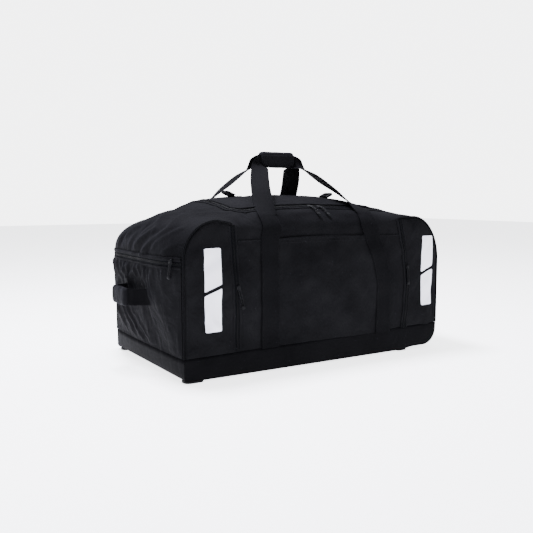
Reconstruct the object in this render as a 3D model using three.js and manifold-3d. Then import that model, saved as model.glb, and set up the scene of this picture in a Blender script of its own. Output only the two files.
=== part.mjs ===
// A large wheeled sports duffel bag, closed and standing on its two wheels and two feet.
// Millimetres. X runs along the bag, from the grab handle at -X to the wheels at +X.
// The front is at -Y and +Z is up. The origin is on the floor, under the middle of the whole bag.
import * as THREE from "three";
import { mergeVertices } from "three/addons/utils/BufferGeometryUtils.js";
import Module from "manifold-3d";

const wasm = await Module();
wasm.setup();

// Body sizes
const bagLength = 780; // front panel, from edge to edge
const bagDepth = 440; // front panel to back panel
const crownHeight = 427; // highest point of the closed lid above the floor
const baseLift = 6; // underside of the base above the floor
const clothWall = 2; // padded polyester
const seamGap = 0.3; // clearance between pieces that meet
const frontBulge = 7;
const bulgeStart = 83; // height where the faces start to bulge
const endBulgeLeft = 30;
const endBulgeRight = 12;
const lowSwell = 0.17; // share of the end's bulge that is left at the base
const backSag = 17; // how far the back of the upper left corner has sunk
const backSagPlace = -342;
const backSagWidth = 62;

// Corners of the front panel
const leftCornerRun = 85;
const leftCornerStart = 285; // height where the upright edge starts to round over
const rightCornerRun = 94;
const rightCornerStart = 250;
const wheelCornerRadius = 46;

// Base
const baseSeam = 63; // height of the seam round the base
const baseLap = 5; // cloth tucked inside the base
const baseWall = 1.8;
const baseClearance = 0.4;

// Lid
const lidLength = 470;
const lidDepth = 330;
const lidCorner = 30;
const zipTapeWidth = 22;
const zipTapeWall = 1.2;

// Pockets
const pocketWall = 1.5;
const pocketInset = 4.5; // from the corded edge
const archZipWidth = 13;
const endZipTop = 284;
const endZipHeight = 20;
const pocketSeam = 324; // top of the centre pocket
const gatherHeight = 5;
const gatherCount = 9;
const pocketClearance = 1.1; // the gathered pocket hangs a little off the end panel

// Webbing
const webbingWidth = 50;
const webbingWall = 1.9;
const gripLength = 105;
const gripHeight = 42;
const gripDepth = 32;
const gripTop = 545;
const gripOffset = -6; // the two loops meet a little left of the middle
const gripSlope = 7; // the wrap's rounded ends
const foldedWidth = 36; // webbing folded to pass through the grip
const pipingRadius = 1.7;

// Grab handle at the left end
const grabWidth = 44;
const grabHeight = 184;
const grabReach = 45; // from the end panel to the middle of the webbing
const grabSpan = 150;
const grabWrapLength = 124;
const grabWrapDepth = 15;
const grabTab = 26; // sewn flat beyond each bend
const grabBend = 20;
const grabSink = 6; // the sewn ends reach down to the end panel

// Wheels, feet and skids
const wheelRadius = 32;
const wheelWidth = 24;
const wheelInset = 55; // axle to the wheel end
const wheelTrack = 330; // between the middles of the wheels
const axleRadius = 4;
const axleClearance = 0.3;
const wheelPlay = 2.5; // between the wheel and its housing
const housingWall = 2.5;
const footLength = 50;
const footWidth = 34;
const footCorner = 14;
const skidLength = 31;
const skidWidth = 40;
const skidProud = 4;
const skidGap = 15; // between the skid and the wheel housing

// Hardware
const pullerWidth = 9;
const pullerWall = 2.6;
const endPullerDrop = 38;
const ringWidth = 40;
const ringLength = 24;
const ringBar = 4;
const ringTilt = 0.45; // radians above the lid
const ringTabLength = 30;
const ringTabWidth = 28;
const ringPlaces = [
  ["left", -1, -152],
  ["right", 1, 160],
];

// Light bars on the arch pockets: side, middle along and middle height
const reflectorWidth = 43;
const reflectorHeight = 192;
const reflectorGap = 9;
const reflectorSlant = 16;
const reflectorWall = 0.6;
const reflectorPlaces = [
  ["left", -320, 212],
  ["right", 346, 221],
];

const halfLength = bagLength / 2;
const halfDepth = bagDepth / 2;
const baseFloor = baseLift + baseWall + baseClearance; // underside of the cloth body

// Cross sections over the top. along and roll: place as a share of half the length, and how softly the
// section rolls over the front edge (0 creased at the piping, 1 a soft shoulder). edge and crown are
// shares of the crown height: where the roll starts and how high the middle stands.
const topSections = [
  { along: -0.783, edge: 0.866, crown: 0.91, roll: 0.0 },
  { along: -0.688, edge: 0.848, crown: 0.942, roll: 0.3 },
  { along: -0.61, edge: 0.81, crown: 0.968, roll: 0.85 },
  { along: -0.416, edge: 0.77, crown: 0.992, roll: 1.0 },
  { along: -0.095, edge: 0.78, crown: 1.008, roll: 1.0 },
  { along: 0.107, edge: 0.78, crown: 1.006, roll: 1.0 },
  { along: 0.389, edge: 0.775, crown: 0.986, roll: 1.0 },
  { along: 0.55, edge: 0.826, crown: 0.957, roll: 0.85 },
  { along: 0.64, edge: 0.86, crown: 0.936, roll: 0.35 },
  { along: 0.76, edge: 0.866, crown: 0.906, roll: 0.0 },
];

// Folds and dents in the cloth, each a line between two points. x, y and z are shares of half the length,
// half the depth and the crown height; height is in millimetres, negative for a dent; width is the
// distance over which it dies away.
const folds = [
  { from: [-1.0, -0.55, 0.74], to: [-0.74, 0.1, 0.95], height: 5, width: 18 },
  { from: [-1.0, -0.2, 0.7], to: [-0.8, 0.5, 0.9], height: 4, width: 16 },
  { from: [-1.0, -0.8, 0.72], to: [-0.83, -0.35, 0.88], height: -4, width: 16 },
  { from: [-1.0, 0.2, 0.72], to: [-0.9, 0.7, 0.84], height: -4, width: 16 },
  { from: [-0.66, -0.5, 0.93], to: [-0.61, 0.5, 0.98], height: -5, width: 22 },
  { from: [0.66, -0.5, 0.9], to: [0.64, 0.5, 0.94], height: -5, width: 22 },
];

// Folds in the end pocket. from and to are a share of half the depth and a share of the crown height.
const pocketFolds = [
  { from: [0.6, 0.4], to: [0.15, 0.19], height: 5, width: 15 },
  { from: [0.82, 0.36], to: [0.5, 0.18], height: 4, width: 13 },
  { from: [0.3, 0.42], to: [-0.1, 0.2], height: 3, width: 13 },
];

// The handle webbing down the face. z is a share of the crown height, left and right shares of half the
// length.
const strapRows = [
  { z: 0.12, left: -0.414, right: 0.496 },
  { z: 0.42, left: -0.421, right: 0.486 },
  { z: 0.58, left: -0.425, right: 0.459 },
  { z: 0.76, left: -0.42, right: 0.392 },
  { z: 1.0, left: -0.372, right: 0.342 },
];

// The zips beside the arch pockets, from the base seam up.
const archZipRows = [
  { z: 0.13, left: -0.646, right: 0.694 },
  { z: 0.45, left: -0.66, right: 0.704 },
  { z: 0.62, left: -0.67, right: 0.683 },
  { z: 0.9, left: -0.686, right: 0.624 },
];

// A column's value at a place between the rows of a table, on a smooth curve through them
function tableValue(rows, key, place, column) {
  const last = rows.length - 1;
  if (place <= rows[0][key]) return rows[0][column];
  if (place >= rows[last][key]) return rows[last][column];
  const i = rows.findIndex((row) => row[key] > place) - 1;
  const slope = (j) => {
    const a = rows[Math.max(j - 1, 0)];
    const b = rows[Math.min(j + 1, last)];
    return (b[column] - a[column]) / (b[key] - a[key]);
  };
  const span = rows[i + 1][key] - rows[i][key];
  const f = (place - rows[i][key]) / span;
  const f2 = f * f;
  const f3 = f2 * f;
  return (
    (2 * f3 - 3 * f2 + 1) * rows[i][column] +
    (f3 - 2 * f2 + f) * span * slope(i) +
    (3 * f2 - 2 * f3) * rows[i + 1][column] +
    (f3 - f2) * span * slope(i + 1)
  );
}

const point = (x, y, z) => new THREE.Vector3(x, y, z);
const mix = (a, b, f) => a + (b - a) * f;

// The push of the folds on a point of the cloth, in millimetres
function foldPush(p) {
  let push = 0;
  for (const fold of folds) {
    const ends = [fold.from, fold.to].map((share) =>
      point(share[0] * halfLength, share[1] * halfDepth, share[2] * crownHeight),
    );
    const near = new THREE.Line3(ends[0], ends[1]).closestPointToPoint(p, true, new THREE.Vector3());
    push += fold.height * Math.exp(-near.distanceToSquared(p) / fold.width ** 2);
  }
  return push;
}

// One station of the gusset: where its front edge and its middle lie, and which way it faces
function topStation(x, grow) {
  const along = x / halfLength;
  return {
    edge: [x, tableValue(topSections, "along", along, "edge") * crownHeight + grow],
    crown: [x, tableValue(topSections, "along", along, "crown") * crownHeight + grow],
    roll: tableValue(topSections, "along", along, "roll"),
    facing: [0, 1],
    end: 0,
  };
}

// Upper corners: the edge turns through a quarter ellipse, and the middle through a wider one
function cornerStation(side, turn, grow) {
  const left = side < 0;
  const run = left ? leftCornerRun : rightCornerRun;
  const start = left ? leftCornerStart : rightCornerStart;
  const bulge = left ? endBulgeLeft : endBulgeRight;
  const top = topStation(side * (halfLength - run), grow);
  const edgeX = side * (halfLength + grow - (run + grow) * (1 - Math.cos(turn)));
  const crownX = side * (halfLength + bulge + grow - (run + bulge + grow) * (1 - Math.cos(turn)));
  return {
    edge: [edgeX, start + (top.edge[1] - start) * Math.sin(turn)],
    crown: [crownX, start + (top.crown[1] - start) * Math.sin(turn)],
    roll: top.roll,
    facing: [side * Math.cos(turn), Math.sin(turn)],
    end: Math.cos(turn),
  };
}

// The upright ends swell between the base and the top
function endStation(side, z, grow) {
  const left = side < 0;
  const start = left ? leftCornerStart : rightCornerStart;
  const bulge = left ? endBulgeLeft : endBulgeRight;
  const rise = THREE.MathUtils.clamp((z - baseSeam - baseLap) / (start - baseSeam - baseLap), 0, 1);
  const swell = bulge * mix(lowSwell, 1, Math.sin((rise * Math.PI) / 2));
  const x = side * (halfLength + grow);
  return { edge: [x, z], crown: [x + side * swell, z], roll: 0, facing: [side, 0], end: 1 };
}

// The lower corner at the wheel end
function wheelCornerStation(turn, grow) {
  const x = halfLength + grow - (wheelCornerRadius + grow) * (1 - Math.cos(turn));
  const z = baseFloor + wheelCornerRadius - (wheelCornerRadius + grow) * Math.sin(turn);
  const swell = endBulgeRight * lowSwell * Math.cos(turn);
  const facing = [Math.cos(turn), -Math.sin(turn)];
  return { edge: [x, z], crown: [x + swell, z], roll: 0, facing, end: 1 };
}

// The back of the upper left corner has sunk: lowers a point there
function sunk(p) {
  const back = THREE.MathUtils.smoothstep(p.y / halfDepth, -0.3, 1);
  const high = THREE.MathUtils.smoothstep(p.z, leftCornerStart * 0.85, crownHeight * 0.8);
  const along = Math.exp(-(((p.x - backSagPlace) / backSagWidth) ** 2));
  p.z -= backSag * back * high * along;
  return p;
}

// A point of the gusset, across from the front edge (-1) to the back edge (1)
function gussetPoint(station, across, grow) {
  const flatness = mix(mix(2, 2.3, station.roll), 4, station.end);
  const share = (1 - Math.abs(across) ** flatness) ** mix(1, 0.43, station.roll);
  const p = point(
    mix(station.edge[0], station.crown[0], share),
    across * (halfDepth + grow),
    mix(station.edge[1], station.crown[1], share),
  );
  const inside = 1 - Math.abs(across) ** 6;
  const push = foldPush(p) * inside;
  const lean = station.roll * across;
  const facing = point(station.facing[0], lean, station.facing[1]).normalize();
  return sunk(p.addScaledVector(facing, push));
}

// A point of the top between the corners, at a length and a place across
const topPoint = (x, across, grow) => gussetPoint(topStation(x, grow), across, grow);

const ringSteps = (count) => Array.from({ length: count }, (_, i) => i / count);

// The closed outer form of the bag, as a grid wrapped round it. grow moves every face outwards.
function bagForm(grow, { rows, corner, middle, across }) {
  const floor = baseFloor - grow;
  const left = Array.from({ length: rows + 1 }, (_, i) =>
    endStation(-1, mix(floor, leftCornerStart, i / rows), grow),
  );
  const top = [
    ...ringSteps(corner).map((f) => cornerStation(-1, (f * Math.PI) / 2, grow)),
    ...Array.from({ length: middle + 1 }, (_, i) =>
      topStation(mix(-halfLength + leftCornerRun, halfLength - rightCornerRun, i / middle), grow),
    ),
    ...ringSteps(corner)
      .reverse()
      .map((f) => cornerStation(1, (f * Math.PI) / 2, grow)),
  ];
  const low = 3; // steps round the wheel corner
  const straight = baseFloor + wheelCornerRadius;
  const right = Array.from({ length: rows + 1 }, (_, i) =>
    i < low
      ? wheelCornerStation(((1 - i / low) * Math.PI) / 2, grow)
      : endStation(1, mix(straight, rightCornerStart, (i - low) / (rows - low)), grow),
  );
  left[rows] = top[0];
  right[rows] = top[top.length - 1];
  const columns = top.length - 1;
  const places = Array.from({ length: across + 1 }, (_, j) =>
    mix(-1 + (2 * j) / across, -Math.cos((Math.PI * j) / across), 0.5),
  );

  // bottom edge of the front: as far along as the top edge is
  const bottomShare = (i) => (top[i].edge[0] - top[0].edge[0]) / (top[columns].edge[0] - top[0].edge[0]);
  const bottomEdge = (i) => [mix(left[0].edge[0], right[0].edge[0], bottomShare(i)), floor];

  const facePoint = (side, i, k) => {
    const u = i / columns;
    const v = k / rows;
    const flat = [0, 1].map((c) => {
      const ends = mix(left[k].edge[c], right[k].edge[c], u) + mix(bottomEdge(i)[c], top[i].edge[c], v);
      const below = mix(left[0].edge[c], right[0].edge[c], u);
      const above = mix(top[0].edge[c], top[columns].edge[c], u);
      return ends - mix(below, above, v);
    });
    if (i === 0) flat.splice(0, 2, ...left[k].edge);
    else if (i === columns) flat.splice(0, 2, ...right[k].edge);
    else if (k === 0) flat.splice(0, 2, ...bottomEdge(i));
    else if (k === rows) flat.splice(0, 2, ...top[i].edge);
    const edge = i === 0 || i === columns || k === 0 || k === rows;
    const rise = THREE.MathUtils.clamp((flat[1] - bulgeStart) / (crownHeight * 0.6), 0, 1);
    const bulge = edge ? 0 : frontBulge * Math.sin(Math.PI * rise) * Math.sin(Math.PI * u);
    return sunk(point(flat[0], side * (halfDepth + grow + bulge), flat[1]));
  };
  const ring = [...left.slice(0, rows), ...top, ...right.slice(0, rows).reverse()];
  const ringPoint = (s, j) => {
    if (j === 0 || j === across) {
      const side = j === 0 ? -1 : 1;
      return sunk(point(ring[s].edge[0], side * (halfDepth + grow), ring[s].edge[1]));
    }
    return gussetPoint(ring[s], places[j], grow);
  };
  const floorPoint = (i, j) => {
    if (j === 0 || j === across) {
      const side = j === 0 ? -1 : 1;
      return point(bottomEdge(i)[0], side * (halfDepth + grow), floor);
    }
    if (i === 0) return ringPoint(0, j);
    if (i === columns) return ringPoint(ring.length - 1, j);
    const ends = [ringPoint(0, j), ringPoint(ring.length - 1, j)];
    return point(mix(ends[0].x, ends[1].x, bottomShare(i)), ends[0].y, floor);
  };

  const positions = [];
  const quad = (a, b, c, d) => {
    for (const p of [a, b, c, a, c, d]) positions.push(p.x, p.y, p.z);
  };
  const grid = (countA, countB, at, flip) => {
    for (let a = 0; a < countA; a++) {
      for (let b = 0; b < countB; b++) {
        const corners = [at(a, b), at(a + 1, b), at(a + 1, b + 1), at(a, b + 1)];
        quad(...(flip ? corners.reverse() : corners));
      }
    }
  };
  grid(columns, rows, (i, k) => facePoint(-1, i, k), false);
  grid(columns, rows, (i, k) => facePoint(1, i, k), true);
  grid(ring.length - 1, across, ringPoint, false);
  grid(columns, across, floorPoint, true);
  return solidFrom(positions);
}

// Joins loose triangles into one solid
function solidFrom(positions) {
  const geometry = new THREE.BufferGeometry();
  geometry.setAttribute("position", new THREE.Float32BufferAttribute(positions, 3));
  return solid(geometry);
}

function solid(geometry) {
  const bare = geometry.index ? geometry.toNonIndexed() : geometry.clone();
  bare.deleteAttribute("normal");
  bare.deleteAttribute("uv");
  const merged = mergeVertices(bare, 1e-3);
  return new wasm.Manifold(
    new wasm.Mesh({
      numProp: 3,
      vertProperties: new Float32Array(merged.attributes.position.array),
      triVerts: new Uint32Array(merged.index.array),
    }),
  );
}

function geometryOf(body) {
  const mesh = body.getMesh();
  const geometry = new THREE.BufferGeometry();
  const corners = new Float32Array(mesh.vertProperties);
  geometry.setAttribute("position", new THREE.BufferAttribute(corners, 3));
  geometry.setIndex(new THREE.BufferAttribute(new Uint32Array(mesh.triVerts), 1));
  return geometry;
}

const bag = new THREE.Group();

function addMesh(name, geometry, material) {
  const mesh = new THREE.Mesh(geometry, material.clone());
  mesh.name = name;
  bag.add(mesh);
  return mesh;
}

const addSolid = (name, body, material) => addMesh(name, geometryOf(body), material);

// Simple cutting and building solids
function box(x0, x1, y0, y1, z0, z1) {
  const geometry = new THREE.BoxGeometry(x1 - x0, y1 - y0, z1 - z0);
  geometry.translate((x0 + x1) / 2, (y0 + y1) / 2, (z0 + z1) / 2);
  return solid(geometry);
}

// An outline in X and Z, extruded along Y
function facePrism(outline, y0, y1) {
  const shape = new THREE.Shape(outline.map(([x, z]) => new THREE.Vector2(x, z)));
  const geometry = new THREE.ExtrudeGeometry(shape, { depth: y1 - y0, bevelEnabled: false });
  geometry.rotateX(Math.PI / 2);
  geometry.translate(0, y1, 0);
  return solid(geometry);
}

// An outline in Y and Z, extruded along X
function endPrism(outline, x0, x1) {
  const shape = new THREE.Shape(outline.map(([y, z]) => new THREE.Vector2(y, z)));
  const geometry = new THREE.ExtrudeGeometry(shape, { depth: x1 - x0, bevelEnabled: false });
  geometry.rotateX(Math.PI / 2);
  geometry.rotateZ(Math.PI / 2);
  geometry.translate(x0, 0, 0);
  return solid(geometry);
}

// A rectangle with rounded corners seen from above, extruded up
function roundedPrism(x0, x1, y0, y1, radius, z0, z1) {
  const shape = new THREE.Shape();
  shape.absarc(x1 - radius, y1 - radius, radius, 0, Math.PI / 2);
  shape.absarc(x0 + radius, y1 - radius, radius, Math.PI / 2, Math.PI);
  shape.absarc(x0 + radius, y0 + radius, radius, Math.PI, 1.5 * Math.PI);
  shape.absarc(x1 - radius, y0 + radius, radius, 1.5 * Math.PI, 2 * Math.PI);
  const settings = { depth: z1 - z0, bevelEnabled: false, curveSegments: 3 };
  const geometry = new THREE.ExtrudeGeometry(shape, settings);
  geometry.translate(0, 0, z0);
  return solid(geometry);
}

const far = 2 * bagLength; // beyond every face of the bag

// Materials
const plain = (color, roughness) => new THREE.MeshStandardMaterial({ color, roughness, metalness: 0 });
const polyester = plain(0x1b1c21, 0.8);
const coatedCloth = plain(0x17181d, 0.6);
const webbing = plain(0x131418, 0.85);
const zipTape = plain(0x101115, 0.8);
const plastic = plain(0x0e0f12, 0.45);
const rubber = plain(0x0b0b0d, 0.9);
const reflective = plain(0xe6e6f4, 0.5);

// Grids: alike over the top, so that pieces that meet there lie parallel. The ends have more rows.
const faceGrid = { rows: 4, corner: 5, middle: 9, across: 12 };
const endGrid = { ...faceGrid, rows: 8 };
const baseGrid = { ...endGrid, corner: 1, middle: 2 }; // the base has no top
const formCache = new Map();

function form(grow, grid) {
  const key = `${grow} ${grid.rows} ${grid.middle}`;
  if (!formCache.has(key)) formCache.set(key, bagForm(grow, grid));
  return formCache.get(key);
}

// A layer of cloth lying on the body, from one height above its surface to another
const layer = (from, to, grid) => form(to, grid).subtract(form(from, grid));

const pocketLayer = [seamGap, seamGap + pocketWall];
const strapLayer = [pocketLayer[1] + seamGap, pocketLayer[1] + seamGap + webbingWall];
const lidX = [-lidLength / 2, lidLength / 2];
const lidY = [-lidDepth / 2, lidDepth / 2];
const wheelX = halfLength - wheelInset;
const clothBottom = baseSeam - baseLap;

// Sewn body: two faces, two ends and the lid
function sewnBody() {
  const faceCloth = layer(-clothWall, 0, faceGrid);
  const endCloth = layer(-clothWall, 0, endGrid);
  const lidHole = roundedPrism(
    lidX[0] - seamGap, lidX[1] + seamGap, lidY[0] - seamGap, lidY[1] + seamGap, lidCorner, 0, far,
  );
  const seamX = [lidX[0] + clothWall, lidX[1] - clothWall];
  const faces = [
    ["front_panel", -1],
    ["back_panel", 1],
  ];
  for (const [name, side] of faces) {
    const inner = side * (halfDepth - clothWall);
    const rollEnd = side * (lidY[1] - lidCorner);
    const outward = (from) => (side < 0 ? [-far, from] : [from, far]);
    const flat = box(-far, far, ...outward(inner), clothBottom, far);
    const roll = box(seamX[0], seamX[1], ...outward(rollEnd), clothBottom, far);
    addSolid(name, faceCloth.intersect(flat.add(roll)).subtract(lidHole), polyester);
  }
  const inner = halfDepth - clothWall - seamGap;
  const ends = [
    ["end_panel_left", box(-far, seamX[0] - seamGap, -inner, inner, clothBottom, far)],
    ["end_panel_right", box(seamX[1] + seamGap, far, -inner, inner, clothBottom, far)],
  ];
  for (const [name, part] of ends) addSolid(name, endCloth.intersect(part).subtract(lidHole), polyester);
  const lidShape = roundedPrism(lidX[0], lidX[1], lidY[0], lidY[1], lidCorner, 0, far);
  const above = box(-far, far, -far, far, halfDepth, far);
  addSolid("lid", faceCloth.intersect(lidShape).intersect(above), polyester);
}

sewnBody();

// Places that several pieces share
const strapX = (side, z) => tableValue(strapRows, "z", z / crownHeight, side) * halfLength;
const archZipX = (side, z) => tableValue(archZipRows, "z", z / crownHeight, side) * halfLength;
const overlayBottom = baseSeam + seamGap;
const levels = (low, high, count) => Array.from({ length: count + 1 }, (_, i) => mix(low, high, i / count));

// The edge of the front panel at one end, from the base seam up and over to its zip
function edgeStations(side) {
  const sign = side === "left" ? -1 : 1;
  const start = side === "left" ? leftCornerStart : rightCornerStart;
  const run = side === "left" ? leftCornerRun : rightCornerRun;
  const zipTop = archZipX(side, crownHeight);
  const corner = levels(0, Math.PI / 2, 6).map((turn) => cornerStation(sign, turn, 0));
  const top = levels(sign * (halfLength - run), zipTop, 3).slice(1).map((x) => topStation(x, 0));
  return [endStation(sign, overlayBottom, 0), endStation(sign, start / 2, 0), ...corner, ...top];
}

// The outline of an arch pocket, held in from the corded edge
function archOutline(side) {
  const sign = side === "left" ? -1 : 1;
  const edge = edgeStations(side).map((s) => {
    const [x, z] = s.edge;
    return [x - s.facing[0] * pocketInset, z - s.facing[1] * pocketInset];
  });
  edge[0][1] = overlayBottom;
  const zipEdge = (z) => archZipX(side, z) + sign * (archZipWidth / 2 + seamGap);
  const outer = edge.filter(([x, z]) => sign * (x - zipEdge(z)) > 2);
  const high = outer[outer.length - 1][1];
  return [...outer, ...levels(high, overlayBottom, 5).map((z) => [zipEdge(z), z])];
}

// A strip down the face: its middle line as a function of height
const stripOutline = (middle, width, low, high, count) => [
  ...levels(low, high, count).map((z) => [middle(z) - width / 2, z]),
  ...levels(high, low, count).map((z) => [middle(z) + width / 2, z]),
];

function facePockets() {
  const cloth = layer(...pocketLayer, faceGrid);
  const tape = layer(seamGap, seamGap + zipTapeWall, faceGrid);
  for (const side of ["left", "right"]) {
    addSolid(`arch_pocket_${side}`, cloth.intersect(facePrism(archOutline(side), -far, 0)), polyester);
    const top = edgeStations(side).at(-1).edge[1] - pocketInset;
    const strip = stripOutline((z) => archZipX(side, z), archZipWidth, overlayBottom, top, 5);
    addSolid(`zip_${side}`, tape.intersect(facePrism(strip, -far, 0)), zipTape);
  }
  const hem = webbingWidth / 4; // the pocket's sides lie under the straps
  const outline = [
    ...levels(overlayBottom, pocketSeam, 4).map((z) => [strapX("left", z) + hem, z]),
    ...levels(pocketSeam, overlayBottom, 4).map((z) => [strapX("right", z) - hem, z]),
  ];
  addSolid("centre_pocket", cloth.intersect(facePrism(outline, -far, 0)), polyester);
}

// What lies where a face meets an end is cut clear of both grids
const clearOfBody = (body, height) => body.subtract(form(height, faceGrid)).subtract(form(height, endGrid));

// Corded edges of the front and back
function pipings() {
  const round = new THREE.Shape();
  round.absarc(0, 0, pipingRadius, 0, 2 * Math.PI);
  const out = (pipingRadius + seamGap) * Math.SQRT1_2 + 0.4;
  for (const side of ["left", "right"]) {
    for (const [face, sign] of [["front", -1], ["back", 1]]) {
      const route = edgeStations(side).map((s) =>
        sunk(point(s.edge[0] + s.facing[0] * out, sign * (halfDepth + out), s.edge[1] + s.facing[1] * out)),
      );
      route[0].z = overlayBottom;
      const curve = new THREE.CatmullRomCurve3(route, false, "centripetal");
      const cord = new THREE.ExtrudeGeometry(round, { steps: 16, curveSegments: 3, extrudePath: curve });
      const belowSeam = box(-far, far, -far, far, 0, overlayBottom);
      addSolid(`piping_${side}_${face}`, clearOfBody(solid(cord), seamGap).subtract(belowSeam), webbing);
    }
  }
}

// The zip tape round the front and both sides of the lid
function lidZip() {
  const half = zipTapeWidth / 2;
  const outer = roundedPrism(
    lidX[0] - half, lidX[1] + half, lidY[0] - half, lidY[1] + half, lidCorner + half, 0, far,
  );
  const inner = roundedPrism(
    lidX[0] + half, lidX[1] - half, lidY[0] + half, lidY[1] - half, lidCorner - half, 0, far,
  );
  const open = box(-far, far, -far, lidY[1] - lidCorner - half, halfDepth, far);
  const tape = layer(seamGap, seamGap + zipTapeWall, faceGrid);
  addSolid("lid_zip", tape.intersect(outer.subtract(inner)).intersect(open), zipTape);
}

// The base: a tray of coated cloth with holes for the wheel housings
const baseOuter = baseClearance + baseWall;
const wellHalf = [wheelRadius + wheelPlay, wheelWidth / 2 + wheelPlay, wheelRadius + wheelPlay];

function wheelBlock(y, extra, low) {
  const x = wellHalf[0] + extra;
  const depth = wellHalf[1] + extra;
  return box(wheelX - x, wheelX + x, y - depth, y + depth, low, wheelRadius + wellHalf[2] + extra);
}

function base() {
  let tray = layer(baseClearance, baseOuter, baseGrid).intersect(box(-far, far, -far, far, 0, baseSeam));
  for (const y of [-wheelTrack / 2, wheelTrack / 2]) {
    tray = tray.subtract(wheelBlock(y, housingWall + seamGap, -far));
  }
  addSolid("base_tray", tray, coatedCloth);
}

// Wheel housings, axles, wheels, and the skids and feet that the bag stands on
function runningGear() {
  for (const [name, side] of [["front", -1], ["back", 1]]) {
    const y = (side * wheelTrack) / 2;
    const shell = wheelBlock(y, housingWall, -far).intersect(form(baseOuter, baseGrid));
    addSolid(`wheel_housing_${name}`, shell.subtract(wheelBlock(y, 0, -far)), plastic);

    const axleLength = 2 * (wellHalf[1] - seamGap);
    const pin = new THREE.CylinderGeometry(axleRadius, axleRadius, axleLength, 16);
    pin.translate(wheelX, y, wheelRadius);
    addSolid(`axle_${name}`, solid(pin), plastic);

    const bore = axleRadius + axleClearance;
    const half = wheelWidth / 2;
    const shoulder = wheelRadius / 8;
    const profile = [
      [bore, -half],
      [wheelRadius - shoulder, -half],
      [wheelRadius, -half + shoulder],
      [wheelRadius, half - shoulder],
      [wheelRadius - shoulder, half],
      [bore, half],
      [bore, -half],
    ].map(([r, h]) => new THREE.Vector2(r, h));
    const tyre = new THREE.LatheGeometry(profile, 20);
    tyre.translate(wheelX, y, wheelRadius);
    addSolid(`wheel_${name}`, solid(tyre), rubber);

    const edgeY = side * halfDepth;
    const span = (width) => [edgeY, edgeY - side * width].sort((a, b) => a - b);
    const skidY = span(skidWidth);
    const skidX = wheelX - wellHalf[0] - housingWall - skidGap;
    const skid = roundedPrism(skidX - skidLength, skidX, ...skidY, 5, baseLift - skidProud, baseFloor);
    addSolid(`skid_${name}`, skid.subtract(form(baseOuter + seamGap, baseGrid)), rubber);

    const footY = span(footWidth);
    const footX = -halfLength + 2;
    const foot = roundedPrism(footX, footX + footLength, ...footY, footCorner, 0, baseFloor);
    addSolid(`foot_${name}`, foot.subtract(form(baseOuter + seamGap, baseGrid)), plastic);
  }
}

// The zip pocket on the left end: cloth gathered into its zip, over a grid finer than the end panel's
const endSide = halfDepth - pocketInset - seamGap;
const endPocketTop = endZipTop - endZipHeight - seamGap;

// How far the gathers and folds stand out at a place on the end pocket
function pleat(y, z) {
  const below = endPocketTop - z;
  const wave = Math.cos((Math.PI * gatherCount * (y + below * 0.45)) / (2 * endSide));
  let push = gatherHeight * wave ** 2 * Math.exp(-below / 38) * Math.min(1, below / 8);
  const here = point(y, z, 0);
  for (const fold of pocketFolds) {
    const ends = [fold.from, fold.to].map(([across, up]) => point(across * halfDepth, up * crownHeight, 0));
    const near = new THREE.Line3(ends[0], ends[1]).closestPointToPoint(here, true, new THREE.Vector3());
    push += fold.height * Math.exp(-near.distanceToSquared(here) / fold.width ** 2);
  }
  return push;
}

// The pocket's cloth, or with some extra on its outside what has to stay clear of it
function pocketSlab(extra) {
  const columns = 3 * gatherCount;
  const rows = 6;
  const at = (a, b, thick) => {
    const z = mix(overlayBottom, endPocketTop, (b / rows) ** 0.8);
    const across = mix(-endSide, endSide, a / columns) / halfDepth;
    const p = gussetPoint(endStation(-1, z, pocketClearance), across, 0);
    const edge = a === 0 || a === columns || b === 0;
    return point(p.x - (thick ? pocketWall + extra + (edge ? 0 : pleat(p.y, z)) : 0), p.y, z);
  };
  return slab(columns, rows, at);
}

function endPocket() {
  const strip = box(-far, -halfLength, -endSide, endSide, endZipTop - endZipHeight, endZipTop);
  const tape = layer(seamGap, seamGap + zipTapeWall, endGrid);
  addSolid("end_zip", tape.intersect(strip), zipTape);
  addSolid("end_pocket", pocketSlab(0), polyester);
}

// A closed slab between two grids of points, at(a, b, false) behind and at(a, b, true) in front
function slab(countA, countB, at) {
  const positions = [];
  const quad = (a, b, c, d) => {
    for (const p of [a, b, c, a, c, d]) positions.push(p.x, p.y, p.z);
  };
  for (let a = 0; a < countA; a++) {
    for (let b = 0; b < countB; b++) {
      const next = [[a, b], [a, b + 1], [a + 1, b + 1], [a + 1, b]];
      quad(...next.map(([i, j]) => at(i, j, true)));
      quad(...next.reverse().map(([i, j]) => at(i, j, false)));
    }
  }
  const rim = (to, from) => quad(at(...from, false), at(...from, true), at(...to, true), at(...to, false));
  for (let a = 0; a < countA; a++) {
    rim([a + 1, 0], [a, 0]);
    rim([a, countB], [a + 1, countB]);
  }
  for (let b = 0; b < countB; b++) {
    rim([0, b], [0, b + 1]);
    rim([countA, b + 1], [countA, b]);
  }
  return solidFrom(positions);
}

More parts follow.
